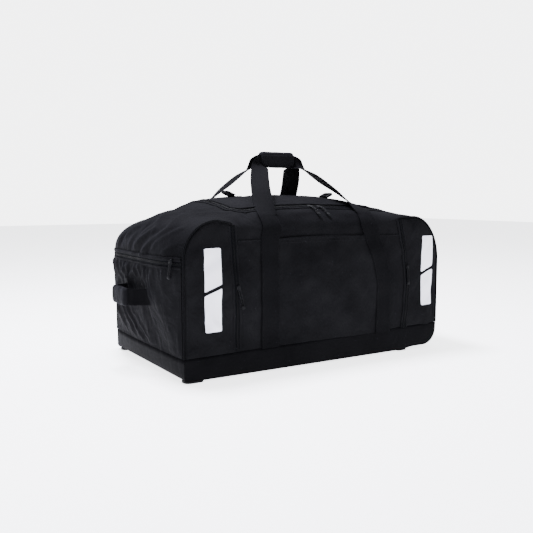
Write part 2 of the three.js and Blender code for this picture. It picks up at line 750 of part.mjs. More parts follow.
// A flat band swept through stations: middle, width direction and width, with square edges
function band(stations, thick) {
  const corners = stations.map(({ middle, across, width }, i) => {
    const before = stations[Math.max(i - 1, 0)].middle;
    const after = stations[Math.min(i + 1, stations.length - 1)].middle;
    const along = after.clone().sub(before).normalize();
    const wide = across.clone().addScaledVector(along, -across.dot(along)).normalize();
    const out = along.clone().cross(wide).normalize();
    const corner = (w, t) =>
      middle.clone().addScaledVector(wide, (w * width) / 2).addScaledVector(out, (t * thick) / 2);
    return [corner(-1, -1), corner(1, -1), corner(1, 1), corner(-1, 1)];
  });
  const positions = [];
  const quad = (a, b, c, d) => {
    for (const p of [a, b, c, a, c, d]) positions.push(p.x, p.y, p.z);
  };
  for (let i = 0; i + 1 < corners.length; i++) {
    for (let k = 0; k < 4; k++) {
      const n = (k + 1) % 4;
      quad(corners[i][k], corners[i][n], corners[i + 1][n], corners[i + 1][k]);
    }
  }
  const last = corners[corners.length - 1];
  quad(corners[0][3], corners[0][2], corners[0][1], corners[0][0]);
  quad(last[0], last[1], last[2], last[3]);
  return solidFrom(positions);
}

// One half of a carrying handle: up from the shoulder and into the grip, turning on edge as it goes
const strapLeaves = crownHeight * 0.87; // height where the webbing leaves the shoulder
const leaveAcross = 0.88; // and how far across, as a share of half the depth
const loopSteps = 15;
const loopBow = 10; // how far the loop bows outwards
const leadOut = 15; // the webbing's last bend before the grip
const leadAside = 17;
const leadDown = 14;
const gripMiddle = point(gripOffset, 0, gripTop - gripHeight / 2);
const bandWall = webbingWall * 0.8;

function halfLoop(side, face) {
  const sign = side === "left" ? -1 : 1;
  const seat = strapLayer[0] + webbingWall / 2 + 0.2;
  const seats = [0.965, 0.925, leaveAcross].map((across) =>
    topPoint(strapX(side, strapLeaves), face * across, seat),
  );
  const leave = seats[2];
  const slot = face * (bandWall / 2 + seamGap);
  const gripEnd = point(gripMiddle.x + (sign * gripLength) / 2, slot, gripMiddle.z);
  const lead = gripEnd.clone().add(point(sign * leadOut, face * leadAside, -leadDown));
  const rise = (f) => leave.clone().lerp(lead, f).add(point(sign * loopBow * Math.sin(Math.PI * f), 0, 0));
  const flat = point(-sign, 0, 0);
  const turned = point(-sign * 0.52, face * 0.85, 0);
  const onEdge = point(0, 0, -1);
  const narrower = mix(webbingWidth, foldedWidth, 0.3);

  // place, direction of the width, width
  const route = [
    ...seats.map((at) => [at, flat, webbingWidth]),
    [rise(0.25), flat.clone().lerp(turned, 0.6), webbingWidth],
    [rise(0.5), turned, webbingWidth],
    [rise(0.78), turned, webbingWidth],
    [lead, turned.clone().lerp(onEdge, 0.35), narrower],
    [gripEnd.clone().add(point(sign * 9, 0, 0)), onEdge, foldedWidth],
    [gripEnd.clone().add(point(sign * 3, 0, 0)), onEdge, foldedWidth],
    [point(gripMiddle.x - sign * 0.5, slot, gripMiddle.z), onEdge, foldedWidth],
  ];
  const last = route.length - 1;
  const curve = new THREE.CatmullRomCurve3(route.map(([at]) => at), false, "centripetal");
  const stations = levels(0, last, loopSteps).map((place) => {
    const i = Math.min(Math.floor(place), last - 1);
    return {
      middle: curve.getPoint(place / last),
      across: route[i][1].clone().lerp(route[i + 1][1], place - i),
      width: mix(route[i][2], route[i + 1][2], place - i),
    };
  });
  return band(stations, bandWall);
}

function handles() {
  const cloth = layer(...strapLayer, faceGrid);
  const faces = [
    ["front_handle", -1],
    ["back_handle", 1],
  ];
  for (const [name, face] of faces) {
    const halves = ["left", "right"].map((side) => {
      const top = topPoint(strapX(side, strapLeaves), leaveAcross, 0).z;
      const strip = stripOutline((z) => strapX(side, z), webbingWidth, overlayBottom, top, 7);
      const prism = face < 0 ? facePrism(strip, -far, 0) : facePrism(strip, 0, far);
      return cloth.intersect(prism).add(halfLoop(side, face));
    });
    // the loops are pressed face to face in the grip
    const ownSide = face < 0 ? [-far, -seamGap / 2] : [seamGap / 2, far];
    const whole = halves[0].add(halves[1]).intersect(box(-far, far, ...ownSide, 0, far));
    addSolid(name, whole, webbing);
  }
}

// A rectangle with rounded corners about the origin, for a bar that is extruded and turned
function roundedOutline(width, height, radius) {
  const w = width / 2 - radius;
  const h = height / 2 - radius;
  const shape = new THREE.Shape();
  shape.absarc(w, h, radius, 0, Math.PI / 2);
  shape.absarc(-w, h, radius, Math.PI / 2, Math.PI);
  shape.absarc(-w, -h, radius, Math.PI, 1.5 * Math.PI);
  shape.absarc(w, -h, radius, 1.5 * Math.PI, 2 * Math.PI);
  return shape;
}

// The padded wrap that holds both loops together
function gripWrap() {
  const wrap = new THREE.ExtrudeGeometry(roundedOutline(gripDepth, gripHeight, gripDepth * 0.42), {
    depth: gripLength - 2 * gripSlope,
    curveSegments: 4,
    bevelThickness: gripSlope,
    bevelSize: gripSlope,
    bevelOffset: -gripSlope,
    bevelSegments: 2,
  });
  wrap.rotateX(Math.PI / 2);
  wrap.rotateZ(Math.PI / 2);
  wrap.translate(gripMiddle.x - gripLength / 2 + gripSlope, 0, gripMiddle.z);
  const slotDepth = bandWall + 2 * seamGap;
  const slotHeight = foldedWidth / 2 + seamGap;
  const slot = box(-far, far, -slotDepth, slotDepth, gripMiddle.z - slotHeight, gripMiddle.z + slotHeight);
  addSolid("grip_wrap", solid(wrap).subtract(slot), polyester);
}

// The short padded handle on the left end: a strip bent out from the end panel, seen here from above
function grabHandle() {
  const atPanel = (y) => gussetPoint(endStation(-1, grabHeight, 0), y / halfDepth, 0).x;
  const out = atPanel(0) - grabReach;
  const half = webbingWall / 2;
  const side = grabSpan / 2;
  const stitched = pocketLayer[1] + 3; // the ends lie over the gathers of the pocket
  const edgeOfStrip = (offset, sink) => {
    const seat = atPanel(side) - stitched - offset;
    const reach = out - offset;
    const middle = mix(seat, reach, 0.5);
    const run = [
      [seat + sink, side + grabTab],
      [seat + sink, side + offset],
      [middle, side - 2 + offset],
      [reach, side - grabBend + offset * 0.4],
    ];
    return [...run.map(([x, y]) => [x, -y]), ...run.reverse()];
  };
  const edges = [...edgeOfStrip(half, 0), ...edgeOfStrip(-half, grabSink).reverse()];
  const shape = new THREE.Shape(edges.map(([x, y]) => new THREE.Vector2(x, y)));
  const strip = new THREE.ExtrudeGeometry(shape, { depth: grabWidth, bevelEnabled: false });
  strip.translate(0, 0, grabHeight - grabWidth / 2);
  const offPanel = solid(strip).subtract(form(pocketLayer[1] + seamGap, endGrid));
  addSolid("grab_handle", offPanel.subtract(pocketSlab(seamGap)), webbing);

  const length = grabWrapLength - grabBend;
  const outline = roundedOutline(grabWrapDepth, grabWidth + 4, grabWrapDepth * 0.4);
  const wrap = new THREE.ExtrudeGeometry(outline, { depth: length, bevelEnabled: false, curveSegments: 3 });
  wrap.rotateX(Math.PI / 2);
  wrap.translate(out, length / 2, grabHeight);
  const slotX = [out - half - seamGap, out + half + seamGap];
  const slotZ = [grabHeight - grabWidth / 2 - seamGap, grabHeight + grabWidth / 2 + seamGap];
  const slot = box(...slotX, -far, far, ...slotZ);
  addSolid("grab_wrap", solid(wrap).subtract(slot), polyester);
}

// Zip pullers, each hanging from its slider over the surface it lies on. x and z: the slider. aside: how
// far the tab's lower end hangs to the right. drop: how far down.
const facePullers = [
  { name: "puller_left", x: -256, z: 217, aside: 15, drop: 52 },
  { name: "puller_right", x: 275, z: 236, aside: 1, drop: 48 },
  { name: "puller_lid_left", x: -13, z: 406, aside: 7, drop: 27 },
  { name: "puller_lid_right", x: 17, z: 406, aside: 8, drop: 27 },
];

const tabOutline = (x, z, aside, drop) => {
  const half = pullerWidth / 2;
  return [
    [x - half * 0.7, z],
    [x + half * 0.7, z],
    [x + aside + half, z - drop + half],
    [x + aside + half * 0.5, z - drop],
    [x + aside - half * 0.5, z - drop],
    [x + aside - half, z - drop + half],
  ];
};

function pullers() {
  const height = strapLayer[0];
  const onFace = layer(height, height + pullerWall, faceGrid);
  for (const { name, x, z, aside, drop } of facePullers) {
    addSolid(name, onFace.intersect(facePrism(tabOutline(x, z, aside, drop), -far, 0)), plastic);
  }
  const clear = pocketClearance + pocketWall + gatherHeight + 2 * seamGap;
  const top = endZipTop - 5;
  const tab = endPrism(tabOutline(-endSide + 22, top, 3, endPullerDrop), -far, 0);
  const slider = endPrism(tabOutline(-endSide + 22, top, 0, 10), -far, 0);
  const hanging = layer(clear, clear + pullerWall, endGrid).intersect(tab);
  const held = layer(height, clear + pullerWall, endGrid).intersect(slider);
  addSolid("puller_end", hanging.add(held), plastic);
}

// Webbing tabs on the lid with a ring in each, for a shoulder strap
function strapRings() {
  const sleeveRadius = ringBar * Math.SQRT1_2 + seamGap + webbingWall;
  for (const [name, sign, x] of ringPlaces) {
    const top = topPoint(x, 0, 0).z;
    const hinge = point(x, 0, top + sleeveRadius + 2 * seamGap);
    const rod = (radius, length) => {
      const cylinder = new THREE.CylinderGeometry(radius, radius, length, 10);
      cylinder.translate(hinge.x, 0, hinge.z);
      return solid(cylinder);
    };
    const inner = sign * ringTabLength;
    const tabX = [x, x - inner].sort((a, b) => a - b);
    const patch = roundedPrism(...tabX, -ringTabWidth / 2, ringTabWidth / 2, 1, halfDepth, far);
    const sewn = layer(seamGap, seamGap + webbingWall, faceGrid).intersect(patch);
    const sleeve = rod(sleeveRadius, ringTabWidth);
    const bore = rod(sleeveRadius - webbingWall, ringWidth * 2);
    const tab = sewn.add(sleeve).subtract(bore);
    addSolid(`ring_tab_${name}`, tab, webbing);

    const frame = roundedOutline(ringLength, ringWidth, 5);
    frame.holes.push(roundedOutline(ringLength - 2 * ringBar, ringWidth - 2 * ringBar, 2));
    const settings = { depth: ringBar, bevelEnabled: false, curveSegments: 2 };
    const ring = new THREE.ExtrudeGeometry(frame, settings);
    ring.translate((sign * (ringLength - ringBar)) / 2, 0, -ringBar / 2);
    ring.rotateY(-sign * ringTilt);
    ring.translate(hinge.x, hinge.y, hinge.z);
    addSolid(`ring_${name}`, solid(ring), plastic);
  }
}

// Light bars on both arch pockets: two long bars with slanted ends facing each other
function reflectors() {
  const height = pocketLayer[1] + seamGap;
  const film = layer(height, height + reflectorWall, faceGrid);
  for (const [side, x, z] of reflectorPlaces) {
    const [x0, x1] = [x - reflectorWidth / 2, x + reflectorWidth / 2];
    const slant = reflectorSlant / 2;
    const gap = reflectorGap / 2;
    const upper = [
      [x0, z + gap - slant],
      [x1, z + gap + slant],
      [x1, z + reflectorHeight / 2],
      [x0, z + reflectorHeight / 2],
    ];
    const lower = [
      [x0, z - reflectorHeight / 2],
      [x1, z - reflectorHeight / 2],
      [x1, z - gap + slant],
      [x0, z - gap - slant],
    ];
    addSolid(`reflector_${side}_upper`, film.intersect(facePrism(upper, -far, 0)), reflective);
    addSolid(`reflector_${side}_lower`, film.intersect(facePrism(lower, -far, 0)), reflective);
  }
}

facePockets();
pipings();
lidZip();
base();
runningGear();
endPocket();
handles();
gripWrap();
grabHandle();
pullers();
strapRings();
reflectors();

bag.updateMatrixWorld(true);
const bounds = new THREE.Box3().setFromObject(bag);
bag.position.set(-(bounds.min.x + bounds.max.x) / 2, -(bounds.min.y + bounds.max.y) / 2, 0);

export default bag;
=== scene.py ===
"""A large wheeled sports duffel bag, closed, standing on its two wheels and two feet. Metres."""
import math

import bmesh
import bpy
import numpy as np
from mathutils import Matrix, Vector


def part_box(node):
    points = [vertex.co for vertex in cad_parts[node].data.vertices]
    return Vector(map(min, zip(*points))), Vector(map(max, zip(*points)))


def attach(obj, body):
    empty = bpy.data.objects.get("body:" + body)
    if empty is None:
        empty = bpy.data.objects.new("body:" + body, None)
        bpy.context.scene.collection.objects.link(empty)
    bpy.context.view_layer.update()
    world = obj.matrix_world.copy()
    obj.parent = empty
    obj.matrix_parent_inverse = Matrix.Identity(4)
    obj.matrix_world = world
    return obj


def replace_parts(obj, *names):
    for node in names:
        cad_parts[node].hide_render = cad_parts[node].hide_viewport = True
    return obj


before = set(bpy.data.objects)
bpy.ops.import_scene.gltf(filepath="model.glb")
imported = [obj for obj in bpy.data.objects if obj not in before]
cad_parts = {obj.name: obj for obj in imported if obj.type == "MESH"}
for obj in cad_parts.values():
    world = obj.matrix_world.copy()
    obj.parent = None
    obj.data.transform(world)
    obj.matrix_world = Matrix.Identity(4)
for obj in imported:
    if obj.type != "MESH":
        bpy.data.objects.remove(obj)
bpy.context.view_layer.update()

# Camera
# The photograph was taken from the left of the bag's front, a little above its middle.
half_length = 0.390
front_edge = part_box("front_panel")[0][0]
middle = front_edge + half_length  # the front panel's middle; every place along the bag counts from it
photo_origin = front_edge + 0.400
eye = Vector((photo_origin - 1.0342, -1.6031, 0.4233))
aim = Vector((photo_origin - 0.0469, 0.0, 0.2321))
camera = bpy.data.objects.new("camera", bpy.data.cameras.new("camera"))
camera.data.sensor_width = 36.0
camera.data.lens = 46.1
camera.location = eye
camera.rotation_mode = "QUATERNION"
camera.rotation_quaternion = (aim - eye).to_track_quat("-Z", "Y")
bpy.context.scene.collection.objects.link(camera)
bpy.context.scene.camera = camera

# Sewn body
# Foam-backed woven polyester: a front, a back and a gusset that runs up both ends and over the top.
# The panels are sewn inside out and turned, so the cloth rolls over the shoulders and creases at the ends.
half_depth = 0.220
crown_height = 0.427
cloth_bottom = 0.054  # tucked behind the base
corner_run = {-1: 0.085, 1: 0.094}
corner_start = {-1: 0.285, 1: 0.250}
end_bulge = {-1: 0.030, 1: 0.012}
low_swell = 0.17
front_bulge = 0.007
bulge_start = 0.083
back_sag = 0.017
back_sag_place = -0.342
back_sag_width = 0.062
lid_half_length = 0.235
lid_half_depth = 0.165
lid_sink = 0.0028
channel_depth = 0.0042  # where the zip round the lid is sewn in
side_channel_width = 0.013
front_channel_width = 0.012

# place along and shares of the crown height: front edge, crown; then how softly the shoulder rolls
top_sections = [
    (-0.783, 0.866, 0.910, 0.0),
    (-0.688, 0.848, 0.942, 0.3),
    (-0.610, 0.810, 0.968, 0.85),
    (-0.416, 0.770, 0.992, 1.0),
    (-0.095, 0.780, 1.008, 1.0),
    (0.107, 0.780, 1.006, 1.0),
    (0.389, 0.775, 0.986, 1.0),
    (0.550, 0.826, 0.957, 0.85),
    (0.640, 0.860, 0.936, 0.35),
    (0.760, 0.866, 0.906, 0.0),
]

# creases and hollows: from and to (along, depth, height), how high they stand, how wide they are
folds = [
    ((-0.420, -0.047, 0.287), (-0.392, -0.138, 0.346), 0.0090, 0.0075),
    ((-0.392, -0.138, 0.346), (-0.297, -0.090, 0.390), 0.0065, 0.0110),
    ((-0.415, -0.110, 0.308), (-0.373, -0.184, 0.353), 0.0065, 0.0070),
    ((-0.412, -0.150, 0.290), (-0.394, -0.196, 0.318), 0.0040, 0.0060),
    ((-0.418, -0.003, 0.303), (-0.395, -0.077, 0.349), 0.0085, 0.0072),
    ((-0.395, -0.077, 0.349), (-0.340, -0.028, 0.384), 0.0055, 0.0110),
    ((-0.411, 0.094, 0.320), (-0.386, 0.014, 0.357), 0.0080, 0.0075),
    ((-0.415, 0.138, 0.295), (-0.402, 0.100, 0.336), 0.0060, 0.0090),
    ((-0.417, 0.050, 0.292), (-0.404, 0.020, 0.334), 0.0050, 0.0070),
    ((-0.417, -0.024, 0.292), (-0.388, -0.110, 0.352), -0.0065, 0.0075),
    ((-0.415, -0.082, 0.296), (-0.380, -0.160, 0.354), -0.0060, 0.0065),
    ((-0.416, 0.030, 0.296), (-0.380, -0.030, 0.366), -0.0060, 0.0085),
    ((-0.413, 0.116, 0.305), (-0.380, 0.060, 0.362), -0.0060, 0.0090),
    ((-0.330, -0.120, 0.376), (-0.250, -0.168, 0.388), 0.0045, 0.0090),
    ((-0.340, -0.060, 0.386), (-0.250, -0.110, 0.402), 0.0045, 0.0100),
    ((-0.330, 0.010, 0.388), (-0.250, 0.030, 0.410), 0.0040, 0.0120),
    ((-0.300, -0.150, 0.378), (-0.236, -0.200, 0.366), 0.0040, 0.0080),
    ((-0.246, -0.150, 0.386), (-0.246, 0.160, 0.396), -0.0070, 0.0100),
    ((0.252, -0.180, 0.360), (0.252, 0.170, 0.380), -0.0060, 0.0110),
    ((0.285, -0.190, 0.352), (0.292, 0.150, 0.372), 0.0050, 0.0110),
    ((0.205, -0.206, 0.345), (0.212, -0.130, 0.400), -0.0090, 0.0130),
    ((-0.129, -0.188, 0.388), (-0.127, -0.216, 0.352), -0.0080, 0.0100),
    ((-0.127, -0.216, 0.352), (-0.060, -0.214, 0.356), -0.0025, 0.0100),
    ((-0.112, -0.196, 0.378), (-0.020, -0.190, 0.388), 0.0035, 0.0110),
    ((0.060, -0.196, 0.380), (0.150, -0.190, 0.386), 0.0030, 0.0120),
    ((-0.206, -0.176, 0.393), (-0.206, -0.221, 0.330), -0.0050, 0.0090),
    ((-0.236, -0.222, 0.310), (-0.200, -0.222, 0.262), 0.0032, 0.0080),
    ((-0.240, -0.222, 0.236), (-0.200, -0.222, 0.196), 0.0028, 0.0085),
    ((-0.242, -0.222, 0.150), (-0.198, -0.222, 0.092), 0.0030, 0.0090),
    ((0.214, -0.222, 0.312), (0.262, -0.222, 0.268), 0.0032, 0.0090),
    ((0.220, -0.222, 0.190), (0.262, -0.222, 0.120), 0.0030, 0.0090),
]


def table_curve(rows, place, column):
    """One column of a table at each place, on a smooth curve through its rows"""
    keys = np.array([row[0] for row in rows])
    values = np.array([row[column] for row in rows])
    slopes = np.gradient(values, keys)
    slopes[1:-1] = (values[2:] - values[:-2]) / (keys[2:] - keys[:-2])
    at = np.clip(np.asarray(place, float), keys[0], keys[-1])
    i = np.clip(np.searchsorted(keys, at, side="right") - 1, 0, len(keys) - 2)
    span = keys[i + 1] - keys[i]
    f = (at - keys[i]) / span
    start = (2 * f**3 - 3 * f**2 + 1) * values[i] + (f**3 - 2 * f**2 + f) * span * slopes[i]
    return start + (3 * f**2 - 2 * f**3) * values[i + 1] + (f**3 - f**2) * span * slopes[i + 1]


def smooth(value):
    """Runs from 0 to 1 without a corner"""
    t = np.clip(value, 0, 1)
    return t * t * (3 - 2 * t)


def shoulder_roll(x):
    return table_curve(top_sections, x / half_length, 3)


def edge_line(x, inset=0.0):
    """Height of the corded edge of the front and back, or of a line inside it"""
    height = table_curve(top_sections, x / half_length, 1) * crown_height - inset
    for side, run in corner_run.items():
        into = (side * x - (half_length - run)) / (run - inset)
        turned = np.sqrt(np.clip(1 - np.clip(into, 0, 1) ** 2, 0, 1))
        start = corner_start[side]
        height = np.where(into > 0, start + (height - start) * turned, height)
    return height


def sunk(p):
    """The back of the upper left corner has sunk a little"""
    back = smooth((p[..., 1] / half_depth + 0.3) / 1.3)
    high = smooth((p[..., 2] - corner_start[-1] * 0.85) / (crown_height * 0.8 - corner_start[-1] * 0.85))
    along = np.exp(-(((p[..., 0] - back_sag_place) / back_sag_width) ** 2))
    p[..., 2] -= back_sag * back * high * along
    return p


def end_swell(side, z):
    start = cloth_bottom + 0.010
    rise = np.clip((z - start) / (corner_start[side] - start), 0, 1)
    return end_bulge[side] * (low_swell + (1 - low_swell) * np.sin(rise * math.pi / 2))


def top_station(x):
    """edge x and z, crown x and z, roll and endwardness of the gusset at a place along the top"""
    edge = table_curve(top_sections, x / half_length, 1) * crown_height
    crown = table_curve(top_sections, x / half_length, 2) * crown_height
    return np.stack([x, edge, x, crown, shoulder_roll(x), 0 * x], -1)


def end_station(side, z):
    x = side * half_length + 0 * z
    return np.stack([x, z, x + side * end_swell(side, z), z, 0 * z, 1 + 0 * z], -1)


def corner_station(side, turn):
    run, start, bulge = corner_run[side], corner_start[side], end_bulge[side]
    top = top_station(side * (half_length - run) + 0 * turn)
    fall = 1 - np.cos(turn)
    edge_x = side * (half_length - run * fall)
    crown_x = side * (half_length + bulge - (run + bulge) * fall)
    edge_z = start + (top[..., 1] - start) * np.sin(turn)
    crown_z = start + (top[..., 3] - start) * np.sin(turn)
    return np.stack([edge_x, edge_z, crown_x, crown_z, top[..., 4], np.cos(turn)], -1)


def gusset(station, across):
    """A point of the gusset, across from the front edge (-1) to the back edge (1)"""
    edge_x, edge_z, crown_x, crown_z, roll, end = np.moveaxis(station, -1, 0)
    flatness = 2 + 0.3 * roll
    flatness = flatness + (4 - flatness) * end
    share = np.clip(1 - np.abs(across) ** flatness, 0, 1) ** (1 - 0.57 * roll)
    x = edge_x + (crown_x - edge_x) * share
    return sunk(np.stack([x, across * half_depth + 0 * share, edge_z + (crown_z - edge_z) * share], -1))


def face(side, x, z):
    """A point of the front (-1) or back (1) before any crease"""
    rise = np.clip((z - bulge_start) / (edge_line(x) - bulge_start), 0, 1)
    width = np.clip((x + half_length) / (2 * half_length), 0, 1)
    bulge = front_bulge * np.sin(math.pi * rise) * np.sin(math.pi * width)
    return sunk(np.stack([x + 0 * z, side * (half_depth + bulge), z + 0 * x], -1))


def unevenness(p, seed=7, longest=0.30, height=0.0011):
    """Gentle waves that stuffing leaves in a cloth wall"""
    draw = np.random.default_rng(seed)
    total = np.zeros(p.shape[:-1])
    for wave in range(12):
        size = longest * 0.82**wave
        way = draw.normal(size=3)
        way *= 2 * math.pi / size / np.linalg.norm(way)
        total += 1.25 * height * 0.84**wave * np.sin(p @ way + draw.uniform(0, 2 * math.pi))
    return total


def crease_push(p, table):
    total = np.zeros(p.shape[:-1])
    for start, end, height, width in table:
        a, b = np.array(start), np.array(end)
        share = np.clip(((p - a) @ (b - a)) / ((b - a) @ (b - a)), 0, 1)
        off = p - a - share[..., None] * (b - a)
        taper = 0.35 + 0.65 * np.sin(math.pi * np.clip(share, 0.02, 0.98))
        total += height * taper * np.exp(-(off * off).sum(-1) / width**2)
    return total


def freedom(p):
    """How freely the cloth can move: not at all in a corded edge or in the base seam"""
    x, z = p[..., 0], p[..., 2]
    across = np.clip(np.abs(p[..., 1]) / half_depth, 0, 1)
    roll = shoulder_roll(x)
    over = 1 - across**6 * (1 - roll)
    ends = smooth((half_length - np.abs(x)) / 0.03)
    top = smooth((edge_line(x) - z) / 0.03)
    on_face = ends * (top + (1 - top) * roll)
    low = smooth((z - cloth_bottom) / 0.03)
    return np.where(across > 0.9995, on_face, over) * low


def lid_channel(p):
    """The zip round the lid pulls the cloth down into a shallow channel, and the lid lies a little low"""
    past_side = np.abs(p[..., 0]) - lid_half_length
    from_front = p[..., 1] + lid_half_depth
    from_back = lid_half_depth - p[..., 1]
    beside = np.exp(-((past_side / side_channel_width) ** 2))
    beside = beside * smooth(from_front / 0.02) * smooth(from_back / 0.04)
    before = np.exp(-((from_front / front_channel_width) ** 2)) * smooth((0.005 - past_side) / 0.02)
    inside = smooth((0.005 - past_side) / 0.03) * smooth(from_front / 0.03)
    high = smooth((p[..., 2] - 0.36) / 0.01)
    return -(channel_depth * np.maximum(beside, before) + lid_sink * inside) * high


def cloth_push(p):
    return (crease_push(p, folds) + unevenness(p) + lid_channel(p)) * freedom(p)


def quads(index):
    return np.stack([index[:-1, :-1], index[1:, :-1], index[1:, 1:], index[:-1, 1:]], -1).reshape(-1, 4)


def make_piece(name, points, faces, finish, slot, body="bag", uv=None, weld=0.0, sharp=55):
    """A mesh object from points that count from the bag's own middle, with its faces turned outwards"""
    mesh = bpy.data.meshes.new(name)
    place = np.array(points, float).reshape(-1, 3) + (middle, 0, 0)
    mesh.from_pydata(place.tolist(), [], [list(f) for f in np.asarray(faces, dtype=object).tolist()])
    if uv is not None:
        layer = mesh.uv_layers.new(name="cloth")
        corners = np.empty(len(mesh.loops), dtype=np.int32)
        mesh.loops.foreach_get("vertex_index", corners)
        layer.data.foreach_set("uv", np.asarray(uv, np.float32).reshape(-1, 2)[corners].ravel())
    work = bmesh.new()
    work.from_mesh(mesh)
    if weld:
        bmesh.ops.remove_doubles(work, verts=work.verts, dist=weld)
    bmesh.ops.recalc_face_normals(work, faces=work.faces)
    work.to_mesh(mesh)
    work.free()
    mesh.shade_smooth()
    mesh.set_sharp_from_angle(angle=math.radians(sharp))
    mesh.materials.append(finish)
    piece = bpy.data.objects.new(name, mesh)
    bpy.context.scene.collection.objects.link(piece)
    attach(piece, body)
    return piece


def new_group(name, inputs, outputs):
    """An empty shader group with named sockets, and its input and output nodes"""
    tree = bpy.data.node_groups.new(name, "ShaderNodeTree")
    for label, kind, value in inputs:
        socket = tree.interface.new_socket(label, in_out="INPUT", socket_type=kind)
        if value is not None:
            socket.default_value = value
    for label, kind in outputs:
        tree.interface.new_socket(label, in_out="OUTPUT", socket_type=kind)
    return tree, tree.nodes.new("NodeGroupInput"), tree.nodes.new("NodeGroupOutput")


def math_node(tree, operation, first, second=None, third=None):
    """A maths node fed by sockets or numbers; gives its result's socket"""
    node = tree.nodes.new("ShaderNodeMath")
    node.operation = operation
    for socket, value in zip(node.inputs, (first, second, third)):
        if isinstance(value, bpy.types.NodeSocket):
            tree.links.new(value, socket)
        elif value is not None:
            socket.default_value = value
    return node.outputs[0]


def noise_node(tree, vector, scale, detail, distortion=0.0, roughness=0.55):
    node = tree.nodes.new("ShaderNodeTexNoise")
    node.inputs["Scale"].default_value = scale
    node.inputs["Detail"].default_value = detail
    node.inputs["Distortion"].default_value = distortion
    node.inputs["Roughness"].default_value = roughness
    tree.links.new(vector, node.inputs["Vector"])
    return node.outputs["Fac"]


def new_finish(name):
    """A new material, its nodes, its shader and the place on the object"""
    finish = bpy.data.materials.new(name)
    finish.use_nodes = True
    tree = finish.node_tree
    place = tree.nodes.new("ShaderNodeTexCoord").outputs["Object"]
    return finish, tree, tree.nodes["Principled BSDF"], place


def shade_between(tree, shader, mask, low, dark, high, light):
    """Feeds the base colour from a dark to a light shade between two levels of a mask"""
    ramp = tree.nodes.new("ShaderNodeValToRGB")
    for element, level, colour in zip(ramp.color_ramp.elements, (low, high), (dark, light)):
        element.position = level
        element.color = (*colour, 1)
    tree.links.new(mask, ramp.inputs["Fac"])
    tree.links.new(ramp.outputs["Color"], shader.inputs["Base Color"])


def bump_node(tree, height, distance, strength=1.0, under=None):
    """A bump, over the normal of another one where it is given; gives its normal's socket"""
    node = tree.nodes.new("ShaderNodeBump")
    node.inputs["Distance"].default_value = distance
    node.inputs["Strength"].default_value = strength
    tree.links.new(height, node.inputs["Height"])
    if under is not None:
        tree.links.new(under, node.inputs["Normal"])
    return node.outputs["Normal"]


def weave_group():
    """Yarns crossing each other, on whichever two axes the cloth lies"""
    tree, enter, leave = new_group(
        "weave",
        [("Place", "NodeSocketVector", None), ("Yarns per metre", "NodeSocketFloat", 700.0)],
        [("Height", "NodeSocketFloat")],
    )
    split = tree.nodes.new("ShaderNodeSeparateXYZ")
    tree.links.new(enter.outputs["Place"], split.inputs[0])
    turns = math_node(tree, "MULTIPLY", enter.outputs["Yarns per metre"], 2 * math.pi)
    waves = [math_node(tree, "SINE", math_node(tree, "MULTIPLY", split.outputs[i], turns)) for i in range(3)]
    total = math_node(tree, "ADD", math_node(tree, "ADD", waves[0], waves[1]), waves[2])
    tree.links.new(math_node(tree, "MULTIPLY_ADD", total, 0.25), leave.inputs["Height"])
    return tree


def handling_group():
    """Soft crumpling left by packing and carrying, and the uneven shade that goes with it"""
    tree, enter, leave = new_group(
        "handling",
        [("Place", "NodeSocketVector", None), ("Size", "NodeSocketFloat", 24.0)],
        [("Height", "NodeSocketFloat"), ("Shade", "NodeSocketFloat")],
    )
    coarse = noise_node(tree, enter.outputs["Place"], 24.0, 3.0, 1.4, 0.42)
    tree.links.new(enter.outputs["Size"], coarse.node.inputs["Scale"])
    fine = noise_node(tree, enter.outputs["Place"], 110.0, 2.0, 0.5, 0.4)
    crossed = math_node(tree, "ADD", coarse, math_node(tree, "MULTIPLY", fine, 0.10))
    tree.links.new(crossed, leave.inputs["Height"])
    patches = noise_node(tree, enter.outputs["Place"], 9.0, 3.0)
    tree.links.new(patches, leave.inputs["Shade"])
    return tree


weave = weave_group()
handling = handling_group()


def handled(tree, place, size):
    """The handling group, placed in a material at its own size"""
    worn = tree.nodes.new("ShaderNodeGroup")
    worn.node_tree = handling
    worn.inputs["Size"].default_value = size
    tree.links.new(place, worn.inputs["Place"])
    return worn


def fabric_gloss(shader, roughness, sheen, sheen_roughness, tint):
    """Dull black fabric: hardly any gloss, and a faint cool sheen"""
    shader.inputs["Roughness"].default_value = roughness
    shader.inputs["Sheen Weight"].default_value = sheen
    shader.inputs["Sheen Roughness"].default_value = sheen_roughness
    shader.inputs["Sheen Tint"].default_value = (*tint, 1)
    shader.inputs["Specular IOR Level"].default_value = 0.005


def cloth_finish(name, dark, light, roughness, yarns, crumple, sheen, weave_depth=0.0002):
    """Woven cloth: yarns, crumpling and an uneven shade between a dark and a light colour"""
    finish, tree, shader, place = new_finish(name)
    yarn = tree.nodes.new("ShaderNodeGroup")
    yarn.node_tree = weave
    yarn.inputs["Yarns per metre"].default_value = yarns
    tree.links.new(place, yarn.inputs["Place"])
    worn = handled(tree, place, 24.0)
    shade_between(tree, shader, worn.outputs["Shade"], 0.30, dark, 0.72, light)
    crumples = bump_node(tree, worn.outputs["Height"], crumple)
    woven = bump_node(tree, yarn.outputs["Height"], weave_depth, 0.5, crumples)
    tree.links.new(woven, shader.inputs["Normal"])
    fabric_gloss(shader, roughness, sheen, 0.45, (0.86, 0.86, 1.0))
    return finish


polyester = cloth_finish(
    "polyester", (0.0034, 0.0034, 0.0039), (0.0060, 0.0060, 0.0067), 0.66, 640.0, 0.0030, 0.010
)


